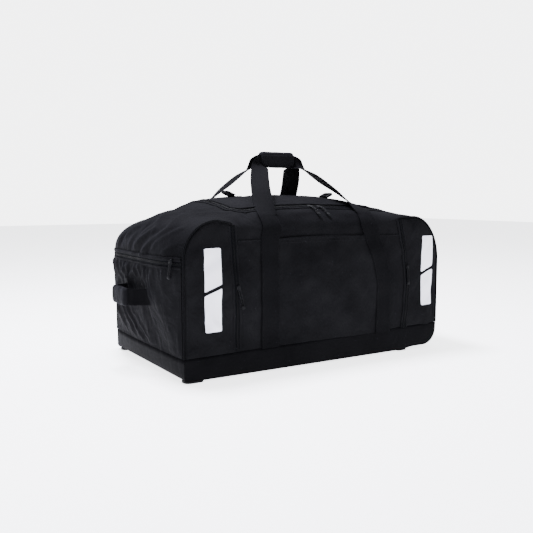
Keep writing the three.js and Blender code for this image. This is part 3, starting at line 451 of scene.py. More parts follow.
def ring_stations(upright, corner, top):
    """Stations from the base seam at the left, over the top, to the base seam at the right"""
    turn = np.linspace(0, math.pi / 2, corner + 1)
    along = np.linspace(-half_length + corner_run[-1], half_length - corner_run[1], top + 1)
    left_z = np.linspace(cloth_bottom, corner_start[-1], upright + 1)
    right_z = np.linspace(cloth_bottom, corner_start[1], upright + 1)
    return np.concatenate(
        [
            end_station(-1, left_z),
            corner_station(-1, turn[1:-1]),
            top_station(along),
            corner_station(1, turn[1:-1])[::-1],
            end_station(1, right_z)[::-1],
        ]
    )


def close_at_ends(count, power):
    """Places from -1 to 1 that lie closer together towards both ends"""
    even = np.linspace(-1, 1, count)
    return np.sign(even) * (1 - (1 - np.abs(even)) ** power)


def join_grids(grids):
    """Points and faces of several grids of points"""
    points, faces, count = [], [], 0
    for grid in grids:
        index = np.arange(grid.shape[0] * grid.shape[1]).reshape(grid.shape[:2]) + count
        points.append(grid.reshape(-1, 3))
        faces.append(quads(index))
        count += index.size
    return np.concatenate(points), np.concatenate(faces)


def sewn_shell(upright=70, corner=44, top=130, across=100):
    """The gusset over the top and both ends, and the front and back that meet it"""
    stations = ring_stations(upright, corner, top)
    spread = close_at_ends(across + 1, 1.8)
    over = gusset(stations[:, None, :], spread[None, :])
    over[:, 0, 1] = -half_depth
    over[:, -1, 1] = half_depth
    grids = [over]
    tops = over[upright : len(stations) - upright]
    rise = np.linspace(0, 1, upright + 1)[None, :]
    flat = stations[upright : len(stations) - upright]
    for side in (-1, 1):
        z = cloth_bottom + (flat[:, 1][:, None] - cloth_bottom) * rise
        panel = face(side, flat[:, 0][:, None] + 0 * z, z)
        panel[:, -1] = tops[:, 0 if side < 0 else -1]
        grids.append(panel)
    return join_grids(grids)


shell_points, shell_faces = sewn_shell()
shell = make_piece("sewn_body", shell_points, shell_faces, polyester, "polyester", weld=2e-5, sharp=180)
shell_mesh = shell.data
rest = np.empty(len(shell_mesh.vertices) * 3)
shell_mesh.vertices.foreach_get("co", rest)
rest = rest.reshape(-1, 3)
facing = np.empty(len(shell_mesh.vertices) * 3, dtype=np.float32)
shell_mesh.vertex_normals.foreach_get("vector", facing)
moved = rest + facing.reshape(-1, 3) * cloth_push(rest - (middle, 0, 0))[:, None]
shell_mesh.vertices.foreach_set("co", moved.ravel())
shell_mesh.update()
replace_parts(shell, "front_panel", "back_panel", "end_panel_left", "end_panel_right", "lid")

# Base
# A smooth coated cloth tray that closes the bag below, sewn on all round, with a round lower corner
# where the wheels are and two wells cut for them. A board inside the cloth keeps its shape.
base_floor = 0.006
base_proud = 0.0013
wheel_corner = 0.046
toe_lift = 0.005  # the floor of the tray rises towards the wheels
toe_start = 0.262
toe_run = 0.045
end_swells = (-0.0051, 0.0020)
wall_bow = 0.0016
seam_pull = 0.0010
heel_radius = 0.010
seam_left = 0.0575
seam_right = 0.0710

coated_cloth = cloth_finish(
    "coated_cloth", (0.0026, 0.0026, 0.0030), (0.0040, 0.0040, 0.0046), 0.50, 420.0, 0.0012, 0.01, 0.0001
)


def base_tray():
    """The floor with both rounded ends, and the band along the front and back"""
    front = half_depth + base_proud
    half = half_length + base_proud
    turn = np.linspace(0, math.pi / 2, 13)
    left = [(-half, seam_left)] + [(-half, z) for z in np.linspace(0.045, base_floor + heel_radius, 4)]
    heel_x = -half + heel_radius * (1 - np.cos(turn[2::2]))
    heel_z = base_floor + heel_radius * (1 - np.sin(turn[2::2]))
    floor_x = np.linspace(-half + 0.03, half - wheel_corner, 60)
    floor_z = base_floor + toe_lift * smooth((floor_x - toe_start) / toe_run)
    toe_floor = base_floor + toe_lift
    toe_x = half - wheel_corner + wheel_corner * np.sin(turn[1:])
    toe_z = toe_floor + wheel_corner * (1 - np.cos(turn[1:]))
    right = [(half, z) for z in np.linspace(toe_floor + wheel_corner, seam_right, 3)[1:]]
    below = [*zip(heel_x, heel_z), *zip(floor_x, floor_z), *zip(toe_x, toe_z)]
    profile = np.array(left + below + right)
    across = close_at_ends(41, 1.7)
    x, z = profile[:, 0][:, None], profile[:, 1][:, None]
    high = smooth((z - base_floor) / 0.03)
    swell = np.where(x < 0, *end_swells) * high * (np.abs(x) > 0.3)
    share = 1 - np.abs(across[None, :]) ** 4
    grids = [np.stack([x + swell * share, across[None, :] * front + 0 * x, z + 0 * share], -1)]
    band_top = seam_left + (seam_right - seam_left) * (x + half) / (2 * half)
    rise = np.linspace(0, 1, 9)[None, :]
    for side in (-1, 1):
        band_z = z + (band_top - z) * rise
        bow = (wall_bow * np.sin(math.pi * rise) - seam_pull * rise**3) * smooth((half - np.abs(x)) / 0.05)
        grids.append(np.stack([x + 0 * band_z, side * (front + bow + 0 * band_z), band_z], -1))
    return join_grids(grids)


base_points, base_faces = base_tray()
base = make_piece("base_cloth", base_points, base_faces, coated_cloth, "coated_cloth", weld=2e-5, sharp=40)
rounding = base.modifiers.new("rounding", "BEVEL")
rounding.width = 0.006
rounding.segments = 4
rounding.limit_method = "ANGLE"
rounding.angle_limit = math.radians(50)
wall = base.modifiers.new("wall", "SOLIDIFY")
wall.thickness = 0.0012
wall.offset = -1


def bake(piece):
    """Turns a piece's modifiers into its mesh"""
    depsgraph = bpy.context.evaluated_depsgraph_get()
    depsgraph.update()
    made = bpy.data.meshes.new_from_object(piece.evaluated_get(depsgraph), depsgraph=depsgraph)
    piece.modifiers.clear()
    piece.data = made
    made.name = piece.name
    return piece


wheel_inset = 0.055
wheel_track = 0.165
well_size = (0.0746, 0.0346, 0.06)
wells = []
for side in (-1, 1):
    cutter_mesh = bpy.data.meshes.new("well")
    cutter_work = bmesh.new()
    bmesh.ops.create_cube(cutter_work, size=1.0)
    for vertex in cutter_work.verts:
        vertex.co.x = vertex.co.x * well_size[0] + half_length - wheel_inset + middle
        vertex.co.y = vertex.co.y * well_size[1] + side * wheel_track
        vertex.co.z = vertex.co.z * well_size[2]
    cutter_work.to_mesh(cutter_mesh)
    cutter_work.free()
    cutter = bpy.data.objects.new("well", cutter_mesh)
    bpy.context.scene.collection.objects.link(cutter)
    cut = base.modifiers.new("well", "BOOLEAN")
    cut.operation = "DIFFERENCE"
    cut.object = cutter
    cut.solver = "EXACT"
    wells.append(cutter)
bake(base)
for cutter in wells:
    bpy.data.objects.remove(cutter, do_unlink=True)
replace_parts(base, "base_tray")

# Corded edges
# A thin cord in a strip of cloth is sewn into the edge of the front and the back at each end. It keeps
# the arched outline sharp.
cord_radius = 0.0019
cord_proud = 0.0012
ends = ((-1, "left"), (1, "right"))
walls = ((-1, "front"), (1, "back"))


def section_loop(width, depth, count, square):
    """A closed cross section, from an oval (square 1) towards a box (square 0)"""
    turn = np.linspace(0, 2 * math.pi, count, endpoint=False)
    wide = np.sign(np.cos(turn)) * np.abs(np.cos(turn)) ** square
    deep = np.sign(np.sin(turn)) * np.abs(np.sin(turn)) ** square
    return np.stack([wide * width / 2, deep * depth / 2], -1)


def resample(points, spacing):
    """Even steps along a smooth curve through points"""
    points = np.asarray(points, float)
    dense = []
    padded = np.concatenate([[2 * points[0] - points[1]], points, [2 * points[-1] - points[-2]]])
    for i in range(1, len(padded) - 2):
        a, b, c, d = padded[i - 1 : i + 3]
        slope = c - a
        bend = 2 * a - 5 * b + 4 * c - d
        twist = 3 * b - a - 3 * c + d
        for f in np.linspace(0, 1, 12, endpoint=False):
            dense.append(0.5 * (2 * b + slope * f + bend * f**2 + twist * f**3))
    dense = np.array(dense + [points[-1]])
    length = np.concatenate([[0], np.cumsum(np.linalg.norm(np.diff(dense, axis=0), axis=1))])
    count = max(int(round(length[-1] / spacing)), 2)
    at = np.linspace(0, length[-1], count + 1)
    return np.stack([np.interp(at, length, dense[:, c]) for c in range(points.shape[1])], -1)


def swept(centre, across, loops):
    """Points, faces and cloth lengths of a closed section carried along a line"""
    along = np.gradient(centre, axis=0)
    along /= np.linalg.norm(along, axis=1, keepdims=True)
    across = np.broadcast_to(across, centre.shape)
    wide = across - (across * along).sum(1, keepdims=True) * along
    wide /= np.linalg.norm(wide, axis=1, keepdims=True)
    deep = np.cross(along, wide)
    loops = np.broadcast_to(loops, (len(centre), *loops.shape[-2:]))
    points = centre[:, None] + wide[:, None] * loops[..., 0, None] + deep[:, None] * loops[..., 1, None]
    count = loops.shape[1]
    index = np.arange(len(centre) * count).reshape(len(centre), count)
    index = np.concatenate([index, index[:, :1]], 1)
    faces = [list(f) for f in quads(index)] + [list(index[0, :-1]), list(index[-1, :-1])]
    length = np.concatenate([[0], np.cumsum(np.linalg.norm(np.diff(centre, axis=0), axis=1))])
    uv = np.stack([np.broadcast_to(length[:, None], points.shape[:2]), loops[..., 0]], -1)
    return points.reshape(-1, 3), faces, uv.reshape(-1, 2)


def swept_piece(name, parts, finish, slot, **options):
    """One piece from several sections, each carried along its own line"""
    points, faces, uv, count = [], [], [], 0
    for centre, across, loops in parts:
        p, f, t = swept(centre, across, loops)
        points.append(p)
        faces += [[int(v) + count for v in corners] for corners in f]
        uv.append(t)
        count += len(p)
    work = np.empty(len(faces), dtype=object)
    work[:] = faces
    return make_piece(name, np.concatenate(points), work, finish, slot, uv=np.concatenate(uv), **options)


def webbing_finish(name, dark, light, roughness, rib, depth):
    """Woven tape: ribs along and across it, on the tape's own lengths"""
    finish, tree, shader, place = new_finish(name)
    lengths = tree.nodes.new("ShaderNodeUVMap")
    lengths.uv_map = "cloth"
    split = tree.nodes.new("ShaderNodeSeparateXYZ")
    tree.links.new(lengths.outputs["UV"], split.inputs[0])
    along = math_node(tree, "SINE", math_node(tree, "MULTIPLY", split.outputs["X"], 2 * math.pi / rib))
    wide = math_node(tree, "SINE", math_node(tree, "MULTIPLY", split.outputs["Y"], 2 * math.pi / (rib * 1.6)))
    ribs = math_node(tree, "MULTIPLY_ADD", math_node(tree, "MULTIPLY", along, wide), 0.5)
    worn = handled(tree, place, 16.0)
    shade_between(tree, shader, worn.outputs["Shade"], 0.30, dark, 0.75, light)
    soft = bump_node(tree, worn.outputs["Height"], 0.0012)
    ribbed = bump_node(tree, ribs, depth, 0.6, soft)
    tree.links.new(ribbed, shader.inputs["Normal"])
    fabric_gloss(shader, roughness, 0.012, 0.5, (0.88, 0.88, 1.0))
    return finish


webbing = webbing_finish(
    "webbing", (0.0024, 0.0024, 0.0028), (0.0038, 0.0038, 0.0043), 0.60, 0.0026, 0.0005
)

# place from the base up as a share of the crown height, then the left and the right zip as shares along
arch_zip_rows = [
    (0.13, -0.646, 0.694),
    (0.45, -0.660, 0.704),
    (0.62, -0.670, 0.683),
    (0.90, -0.686, 0.624),
]


def arch_zip(side, z):
    return table_curve(arch_zip_rows, z / crown_height, 1 if side < 0 else 2) * half_length


def base_seam(x):
    return seam_left + (seam_right - seam_left) * (x + half_length) / (2 * half_length)


def edge_path(side, inset=0.0):
    """The outline of one end of the front, from the base seam up, over its corner and on to the zip"""
    run, start = corner_run[side], corner_start[side]
    x = side * (half_length - inset)
    low = base_seam(x) + 0.0005
    upright = [(x, z) for z in np.linspace(low, start, 10)]
    turn = np.linspace(0, math.pi / 2, 12)[1:]
    corner_x = side * (half_length - run + (run - inset) * np.cos(turn))
    top_x = np.linspace(side * (half_length - run), float(arch_zip(side, crown_height * 0.86)), 8)[1:]
    over = [(float(v), float(edge_line(v, inset))) for v in np.concatenate([corner_x, top_x])]
    return np.array(upright + over)


for side, side_name in ends:
    for depth_side, face_name in walls:
        outline = edge_path(side, -cord_proud)
        depth = np.full(len(outline), depth_side * (half_depth + cord_proud))
        line = resample(sunk(np.stack([outline[:, 0], depth, outline[:, 1]], -1)), 0.005)
        loop = section_loop(2 * cord_radius, 2 * cord_radius, 10, 1.0)
        name = f"corded_edge_{side_name}_{face_name}"
        cord = swept_piece(name, [(line, (0, 1, 0), loop)], webbing, "webbing")
        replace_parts(cord, f"piping_{side_name}_{face_name}")

# Arched pockets
# Flat pockets of the same cloth at both ends of the front, cut to the arch and sewn in at the corded edge.
# Their inner side opens with the upright zip.
pocket_inset = 0.0036
zip_half = 0.0062


def arch_height(side, x, z):
    """How far an arched pocket stands off the front, from its distance to each of its edges"""
    reach = half_length - pocket_inset - side * x
    top = edge_line(x, pocket_inset) - z
    inner = side * (x - arch_zip(side, z)) - zip_half
    low = z - base_seam(x)
    near = np.minimum(np.minimum(reach, top), np.minimum(inner, low))
    near = np.clip(near, 0, None)
    return 0.0006 + 0.0022 * (1 - np.exp(-near / 0.0035)) + 0.0045 * (1 - np.exp(-near / 0.05))


def outward(place, a, b, height, step=2e-4):
    """Lifts places on a surface along its outward side, over the creases of the cloth"""
    p = place(a, b)
    da = place(a + step, b) - place(a - step, b)
    db = place(a, b + step) - place(a, b - step)
    out = np.cross(da, db)
    out /= np.linalg.norm(out, axis=-1, keepdims=True) + 1e-12
    return p + out * (cloth_push(p) + height)[..., None]


def on_front(x, z, height=0.0):
    return outward(lambda a, b: face(-1, a, b), x, z, height)


def sew_slab(outer, under):
    """Points and faces of a closed slab between two grids"""
    a, b = outer.shape[:2]
    index = np.arange(a * b).reshape(a, b)
    rim = np.concatenate([index[0, :], index[1:, -1], index[-1, -2::-1], index[-2:0:-1, 0]])
    sides = np.stack([rim, np.roll(rim, -1), np.roll(rim, -1) + a * b, rim + a * b], -1)
    faces = np.concatenate([quads(index), quads(index)[:, ::-1] + a * b, sides])
    return np.concatenate([outer.reshape(-1, 3), under.reshape(-1, 3)]), faces


pocket_folds = [
    ((-0.372, -0.222, 0.140), (-0.300, -0.222, 0.082), 0.0028, 0.011),
    ((-0.330, -0.222, 0.150), (-0.276, -0.222, 0.092), 0.0024, 0.010),
    ((-0.300, -0.222, 0.128), (-0.268, -0.222, 0.078), -0.0020, 0.010),
    ((-0.376, -0.222, 0.320), (-0.310, -0.222, 0.352), 0.0014, 0.012),
    ((0.292, -0.222, 0.140), (0.362, -0.222, 0.092), 0.0026, 0.011),
    ((0.296, -0.222, 0.340), (0.330, -0.222, 0.300), 0.0016, 0.012),
]


def on_arch_pocket(side, x, z, extra=0.0):
    bare = face(-1, x, z)
    loose = crease_push(bare, pocket_folds) + unevenness(bare, 23, 0.16, 0.0006)
    near = smooth((half_length - pocket_inset - side * x) / 0.02) * smooth((z - base_seam(x)) / 0.02)
    return on_front(x, z, arch_height(side, x, z) + loose * near + extra)


for side, side_name in ends:
    share = np.linspace(0, 1, 46) ** 1.35
    rise = np.linspace(0, 1, 72)
    inner_top = float(arch_zip(side, crown_height * 0.85))
    outer_x = side * (half_length - pocket_inset)
    column = outer_x + (inner_top + side * zip_half - outer_x) * share
    top = edge_line(column, pocket_inset)
    z = base_seam(column)[:, None] + 0.0004 + (top - base_seam(column) - 0.0004)[:, None] * rise[None, :]
    inner = arch_zip(side, z) + side * zip_half
    x = outer_x + (inner - outer_x) * share[:, None]
    z = np.minimum(z, edge_line(x, pocket_inset))
    outer = on_arch_pocket(side, x, z)
    under = on_front(x, z, 0.0001)
    points, faces = sew_slab(outer, under)
    pocket = make_piece(f"arched_pocket_{side_name}", points, faces, polyester, "polyester", sharp=60)
    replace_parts(pocket, f"arch_pocket_{side_name}")

# Upright zips
# Coil zips on a narrow woven tape beside each arched pocket. A cloth lip covers half of the tape, and a
# moulded puller hangs from the slider.
zip_tape = webbing_finish(
    "zip_tape", (0.0022, 0.0023, 0.0028), (0.0034, 0.0036, 0.0044), 0.7, 0.0012, 0.00015
)


def plastic_finish(name, colour, roughness, grain=900.0, depth=0.00006):
    """Moulded plastic: a fine grain, and a shade and gloss that vary a little"""
    finish, tree, shader, place = new_finish(name)
    grained = bump_node(tree, noise_node(tree, place, grain, 3.0), depth)
    tree.links.new(grained, shader.inputs["Normal"])
    patches = noise_node(tree, place, 30.0, 3.0)
    uneven = math_node(tree, "MULTIPLY_ADD", patches, 0.16, roughness - 0.08)
    tree.links.new(uneven, shader.inputs["Roughness"])
    dark = [c * 0.8 for c in colour]
    light = [c * 1.25 for c in colour]
    shade_between(tree, shader, patches, 0.35, dark, 0.7, light)
    shader.inputs["Specular IOR Level"].default_value = 0.05
    return finish


moulded = plastic_finish("moulded_plastic", (0.0026, 0.0027, 0.0034), 0.42)
coil_finish = plastic_finish("zip_coil", (0.0020, 0.0021, 0.0026), 0.6)


def repeat_tree(name, rounded):
    """Sets a small piece along lines at an even spacing, lying on the side that the line's up points to"""
    tree = bpy.data.node_groups.new(name, "GeometryNodeTree")
    for label, kind in (
        ("Lines", "NodeSocketGeometry"),
        ("Spacing", "NodeSocketFloat"),
        ("Size", "NodeSocketVector"),
        ("Finish", "NodeSocketMaterial"),
    ):
        tree.interface.new_socket(label, in_out="INPUT", socket_type=kind)
    tree.interface.new_socket("Pieces", in_out="OUTPUT", socket_type="NodeSocketGeometry")
    enter = tree.nodes.new("NodeGroupInput")
    leave = tree.nodes.new("NodeGroupOutput")
    curve = tree.nodes.new("GeometryNodeMeshToCurve")
    spots = tree.nodes.new("GeometryNodeCurveToPoints")
    spots.mode = "LENGTH"
    up = tree.nodes.new("GeometryNodeInputNamedAttribute")
    up.data_type = "FLOAT_VECTOR"
    up.inputs["Name"].default_value = "up"
    along = tree.nodes.new("FunctionNodeAlignRotationToVector")
    along.axis = "X"
    stand = tree.nodes.new("FunctionNodeAlignRotationToVector")
    stand.axis = "Z"
    stand.pivot_axis = "X"
    if rounded:
        unit = tree.nodes.new("GeometryNodeMeshIcoSphere")
        unit.inputs["Radius"].default_value = 0.5
        unit.inputs["Subdivisions"].default_value = 1
    else:
        unit = tree.nodes.new("GeometryNodeMeshCube")
    place = tree.nodes.new("GeometryNodeInstanceOnPoints")
    solid = tree.nodes.new("GeometryNodeRealizeInstances")
    colour = tree.nodes.new("GeometryNodeSetMaterial")
    join = tree.links.new
    join(enter.outputs["Lines"], curve.inputs["Mesh"])
    join(curve.outputs["Curve"], spots.inputs["Curve"])
    join(enter.outputs["Spacing"], spots.inputs["Length"])
    join(spots.outputs["Points"], place.inputs["Points"])
    join(spots.outputs["Tangent"], along.inputs["Vector"])
    join(along.outputs["Rotation"], stand.inputs["Rotation"])
    join(up.outputs["Attribute"], stand.inputs["Vector"])
    join(stand.outputs["Rotation"], place.inputs["Rotation"])
    join(unit.outputs["Mesh"], place.inputs["Instance"])
    join(enter.outputs["Size"], place.inputs["Scale"])
    join(place.outputs["Instances"], solid.inputs["Geometry"])
    join(solid.outputs["Geometry"], colour.inputs["Geometry"])
    join(enter.outputs["Finish"], colour.inputs["Material"])
    join(colour.outputs["Geometry"], leave.inputs["Pieces"])
    return tree


tooth_tree = repeat_tree("zip_teeth", False)
tooth_gap = 0.0019
tooth_size = (0.0011, 0.0050, 0.0009)
tape_thick = 0.0011


def repeat_along(name, tree, lines, spacing, size, finish):
    """Runs a repeat tree over lines, each of points and up directions, and keeps the plain mesh"""
    points, edges, ups, count = [], [], [], 0
    for line, up in lines:
        points.append(line + (middle, 0, 0))
        ups.append(np.broadcast_to(up, line.shape))
        edges += [(count + i, count + i + 1) for i in range(len(line) - 1)]
        count += len(line)
    mesh = bpy.data.meshes.new(name)
    mesh.from_pydata(np.concatenate(points).tolist(), edges, [])
    attribute = mesh.attributes.new("up", "FLOAT_VECTOR", "POINT")
    attribute.data.foreach_set("vector", np.concatenate(ups).astype(np.float32).ravel())
    piece = bpy.data.objects.new(name, mesh)
    bpy.context.scene.collection.objects.link(piece)
    run = piece.modifiers.new("repeat", "NODES")
    run.node_group = tree
    wanted = {"Spacing": spacing, "Size": size, "Finish": finish}
    for item in tree.interface.items_tree:
        if item.in_out == "INPUT" and item.name in wanted:
            run[item.identifier] = wanted[item.name]
    bake(piece)
    if not piece.data.materials:
        piece.data.materials.append(finish)
    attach(piece, "bag")
    return piece


def lift(line, place, height):
    """A line of places on a surface, and the surface's outward side along it"""
    a, b = line[:, 0], line[:, 1]
    low, high = place(a, b, height), place(a, b, height + 0.001)
    return low, (high - low) * 1000


def puller(name, line, up, apart=0.0023, thick=0.0030):
    """A slider with a loop of ribbed cord through it, closed by a moulded end"""
    both = resample(np.concatenate([line, np.broadcast_to(up, line.shape) * 0.001], 1), 0.0007)
    line, up = both[:, :3], both[:, 3:] * 1000
    along = np.gradient(line, axis=0)
    along /= np.linalg.norm(along, axis=1, keepdims=True)
    across = np.cross(up, along)
    share = np.linspace(0, 1, len(line))
    ribs = 1 + 0.13 * np.sin(share * len(line) * 0.0007 * 2 * math.pi / 0.0032)
    spread = apart * smooth(share / 0.15)
    loops = section_loop(thick, thick, 10, 1.0)[None] * ribs[:, None, None]
    strands = [(line + across * spread[:, None] * sign, across, loops) for sign in (-1, 1)]
    head = np.linspace(-0.0065, 0.0065, 9)
    slider = line[0] + head[:, None] * along[0] - up[0] * 0.0016
    bulk = np.sqrt(np.clip(1 - (head / 0.0068) ** 4, 0.05, 1))
    body = section_loop(0.0098, 0.0042, 16, 0.6)[None] * bulk[:, None, None]
    tip = line[-1] + np.linspace(-0.007, 0.003, 9)[:, None] * along[-1]
    blunt = np.sqrt(np.clip(1 - np.linspace(-1, 1, 9) ** 6, 0.15, 1))
    end = section_loop(0.0092, 0.0044, 16, 0.6)[None] * blunt[:, None, None]
    side = np.broadcast_to(across[0], slider.shape)
    last = np.broadcast_to(across[-1], tip.shape)
    return swept_piece(name, strands + [(slider, side, body), (tip, last, end)], moulded, "plastic")


for side, side_name in ends:
    z = np.linspace(0.066, float(edge_line(arch_zip(side, 0.36), 0.004)), 40)
    route = np.stack([arch_zip(side, z), z], -1)
    tape_line, tape_up = lift(route, on_front, 0.0011)
    sideways = np.cross(tape_up, np.gradient(tape_line, axis=0))
    strip = (tape_line, sideways, section_loop(0.0128, tape_thick, 16, 0.4))
    tape = swept_piece(f"zip_tape_{side_name}", [strip], zip_tape, "zip_tape")
    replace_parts(tape, f"zip_{side_name}")
    coil, coil_up = lift(route, on_front, 0.0021)
    teeth = [(coil, coil_up)]
    repeat_along(f"zip_coil_{side_name}", tooth_tree, teeth, tooth_gap, tooth_size, coil_finish)
    lips = []
    for offset, radius in ((-0.0085, 0.0016), (0.0080, 0.0019)):
        lip, lip_up = lift(route + (offset, 0), on_front, 0.0014)
        sideways = np.cross(lip_up, np.gradient(lip, axis=0))
        lips.append((lip, sideways, section_loop(0.0058, 2 * radius, 12, 0.9)))
    swept_piece(f"zip_lips_{side_name}", lips, polyester, "polyester")

left_tab = np.array([(-0.2545, 0.214), (-0.2495, 0.196), (-0.2445, 0.180), (-0.2425, 0.165)])
line, up = lift(left_tab, on_front, 0.0046)
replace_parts(puller("puller_left_zip", line, up), "puller_left")
right_tab = np.array([(0.2750, 0.234), (0.2755, 0.218), (0.2757, 0.202), (0.2750, 0.189)])
line, up = lift(right_tab, on_front, 0.0046)
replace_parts(puller("puller_right_zip", line, up), "puller_right")

# Reflective bars
# Two bars of light film with slanted ends are heat-pressed on each arched pocket.
reflective, film_tree, film_shader, film_place = new_finish("reflective_film")
beads = film_tree.nodes.new("ShaderNodeTexVoronoi")
beads.inputs["Scale"].default_value = 1300.0
film_tree.links.new(film_place, beads.inputs["Vector"])
film_patches = noise_node(film_tree, film_place, 16.0, 4.0)
shade_between(film_tree, film_shader, film_patches, 0.25, (0.74, 0.74, 0.84), 0.75, (0.90, 0.90, 0.97))
film_tree.links.new(bump_node(film_tree, beads.outputs["Distance"], 0.0001), film_shader.inputs["Normal"])
film_shader.inputs["Roughness"].default_value = 0.42
bar_half_width = 0.0215
bar_half_height = 0.096
bar_gap = 0.0045
bar_slant = 0.008
bar_corner = 0.0018

for side, side_name, bar_x, bar_z in ((-1, "left", -0.320, 0.212), (1, "right", 0.346, 0.221)):
    for part, sign in (("upper", 1), ("lower", -1)):
        share = np.linspace(-1, 1, 15)[:, None]
        rise = np.linspace(0, 1, 31)[None, :]
        rounded = bar_corner * smooth((np.abs(share) - 0.8) / 0.2)
        inner = bar_z + sign * bar_gap + bar_slant * share + sign * rounded * 0.5
        outer_end = bar_z + sign * (bar_half_height - rounded)
        z = inner + (outer_end - inner) * rise
        x = bar_x + bar_half_width * share + 0 * z
        film = on_arch_pocket(side, x, z, 0.0008)
        points, faces = sew_slab(film, on_arch_pocket(side, x, z, 0.0001))
        bar = make_piece(f"light_bar_{side_name}_{part}", points, faces, reflective, "reflective", sharp=40)
        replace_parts(bar, f"reflector_{side_name}_{part}")

# Centre pocket
# A flat open pocket of the same cloth between the handle straps, hemmed along its top and stitched down
# under the straps at both sides.
strap_rows = [
    (0.12, -0.414, 0.496),
    (0.42, -0.421, 0.486),
    (0.58, -0.425, 0.459),
    (0.76, -0.420, 0.392),
    (1.00, -0.372, 0.342),
]
strap_width = 0.050
pocket_top = 0.324


def strap_place(side, z):
    return table_curve(strap_rows, z / crown_height, 1 if side < 0 else 2) * half_length


share = np.linspace(0, 1, 80)[:, None]
rise = np.linspace(0, 1, 60)[None, :]
z = 0.062 + (pocket_top - 0.062) * rise + 0.004 * np.sin(math.pi * share) * rise
z = np.maximum(z, base_seam(0.0) - 0.002)
left_side = strap_place(-1, z) + 0.012
right_side = strap_place(1, z) - 0.012
x = left_side + (right_side - left_side) * share
bare = face(-1, x, z)
hem = smooth((rise - 0.955) / 0.02) * 0.0012
sag = 0.0030 * np.sin(math.pi * share) * np.sin(math.pi * np.clip(rise * 1.1, 0, 1)) ** 0.7
centre_folds = [
    ((-0.130, -0.222, 0.160), (0.020, -0.222, 0.080), 0.0030, 0.014),
    ((-0.100, -0.222, 0.250), (0.060, -0.222, 0.150), 0.0016, 0.022),
    ((0.020, -0.222, 0.140), (0.160, -0.222, 0.086), 0.0026, 0.016),
    ((0.090, -0.222, 0.220), (0.160, -0.222, 0.140), 0.0018, 0.018),
]
loose = crease_push(bare, centre_folds) + unevenness(bare, 41, 0.22, 0.0008)
height = 0.0016 + hem + sag + loose * np.sin(math.pi * share) ** 0.5
outer = on_front(x, z, np.maximum(height, 0.0010))
points, faces = sew_slab(outer, on_front(x, z, 0.0001))
centre = make_piece("centre_pocket_cloth", points, faces, polyester, "polyester", sharp=60)
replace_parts(centre, "centre_pocket")
seams = []
for side in (-1, 1):
    start = float(arch_zip(side, 0.322)) - side * 0.012
    finish_x = float(strap_place(side, 0.322)) + side * 0.020
    across = np.linspace(start, finish_x, 12)
    seam, seam_up = lift(np.stack([across, 0 * across + 0.322], -1), on_front, 0.0004)
    seams.append((seam, np.cross(seam_up, np.gradient(seam, axis=0)), section_loop(0.0046, 0.0020, 10, 0.9)))
swept_piece("pocket_seams", seams, polyester, "polyester")

# Lid zip
# The lid opens on a coil zip along the front and both sides. A cloth lip stands up on each side of the
# tape, and two pullers meet at the middle of the front.
lid_corner = 0.030


def over_bag(x, w, height=0.0):
    """The middle of the bag: w is 0 to 1 up the front, 1 to 2 over the top and 2 to 3 down the back"""

    def place(a, b):
        low = cloth_bottom
        top = edge_line(a)
        front = face(-1, a, low + (top - low) * np.clip(b, 0, 1))
        back = face(1, a, low + (top - low) * np.clip(3 - b, 0, 1))
        across = np.clip(2 * (b - 1.5), -1, 1)
        over = gusset(top_station(a), across)
        b = np.asarray(b)[..., None]
        return np.where(b < 1, front, np.where(b > 2, back, over))

    x, w = np.broadcast_arrays(np.asarray(x, float), np.asarray(w, float))
    return outward(place, x, w, height)


def on_top(x, y, height=0.0):
    return over_bag(x, 1.5 + y / half_depth / 2, height)


def lid_route(grow):
    """Plan of the zip: from the back of the left side, round the front and to the back of the right side"""
    a, b, r = lid_half_length + grow, lid_half_depth + grow, lid_corner + grow
    back = lid_half_depth - lid_corner - 0.012
    turn = np.linspace(0, math.pi / 2, 9)
    left = [(-a, y) for y in np.linspace(back, -b + r, 24)]
    left_corner = [(-a + r - r * math.cos(t), -b + r - r * math.sin(t)) for t in turn[1:]]
    front = [(x, -b) for x in np.linspace(-a + r, a - r, 50)[1:]]
    right_corner = [(a - r + r * math.sin(t), -b + r - r * math.cos(t)) for t in turn[1:]]
    right = [(a, y) for y in np.linspace(-b + r, back, 24)[1:]]
    return np.array(left + left_corner + front + right_corner + right)


lid_line, lid_up = lift(lid_route(0.0), on_top, 0.0011)
lid_tape = swept_piece(
    "lid_zip_tape",
    [(lid_line, np.cross(lid_up, np.gradient(lid_line, axis=0)), section_loop(0.021, tape_thick, 16, 0.4))],
    zip_tape,
    "zip_tape",
)
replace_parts(lid_tape, "lid_zip")
coil, coil_up = lift(lid_route(0.0), on_top, 0.0023)
lid_tooth_gap = 0.0023
lid_tooth_size = (0.0013, 0.0060, 0.0010)
teeth = [(coil, coil_up)]
repeat_along("lid_zip_coil", tooth_tree, teeth, lid_tooth_gap, lid_tooth_size, coil_finish)
lips = []
for grow, wide, tall in ((-0.0105, 0.0085, 0.0042), (0.0105, 0.0075, 0.0034)):
    lip, lip_up = lift(lid_route(grow), on_top, 0.0012)
    lips.append((lip, np.cross(lip_up, np.gradient(lip, axis=0)), section_loop(wide, tall, 14, 0.9)))
swept_piece("lid_zip_lips", lips, polyester, "polyester")
for name, node, start, end in (
    ("puller_lid_zip_left", "puller_lid_left", (-0.0140, -0.170), (-0.0065, -0.2035)),
    ("puller_lid_zip_right", "puller_lid_right", (0.0160, -0.170), (0.0245, -0.2035)),
):
    line, up = lift(np.linspace(start, end, 5), on_top, 0.0048)
    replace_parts(puller(name, line, up), node)

# End pocket
# The pocket on the grab handle end: cloth gathered into a zip tape under a hem, so it falls in pleats
# that open into long folds towards the base.
end_side = half_depth - 0.0048
end_zip_top = 0.284
end_zip_low = 0.264
gathers = 17


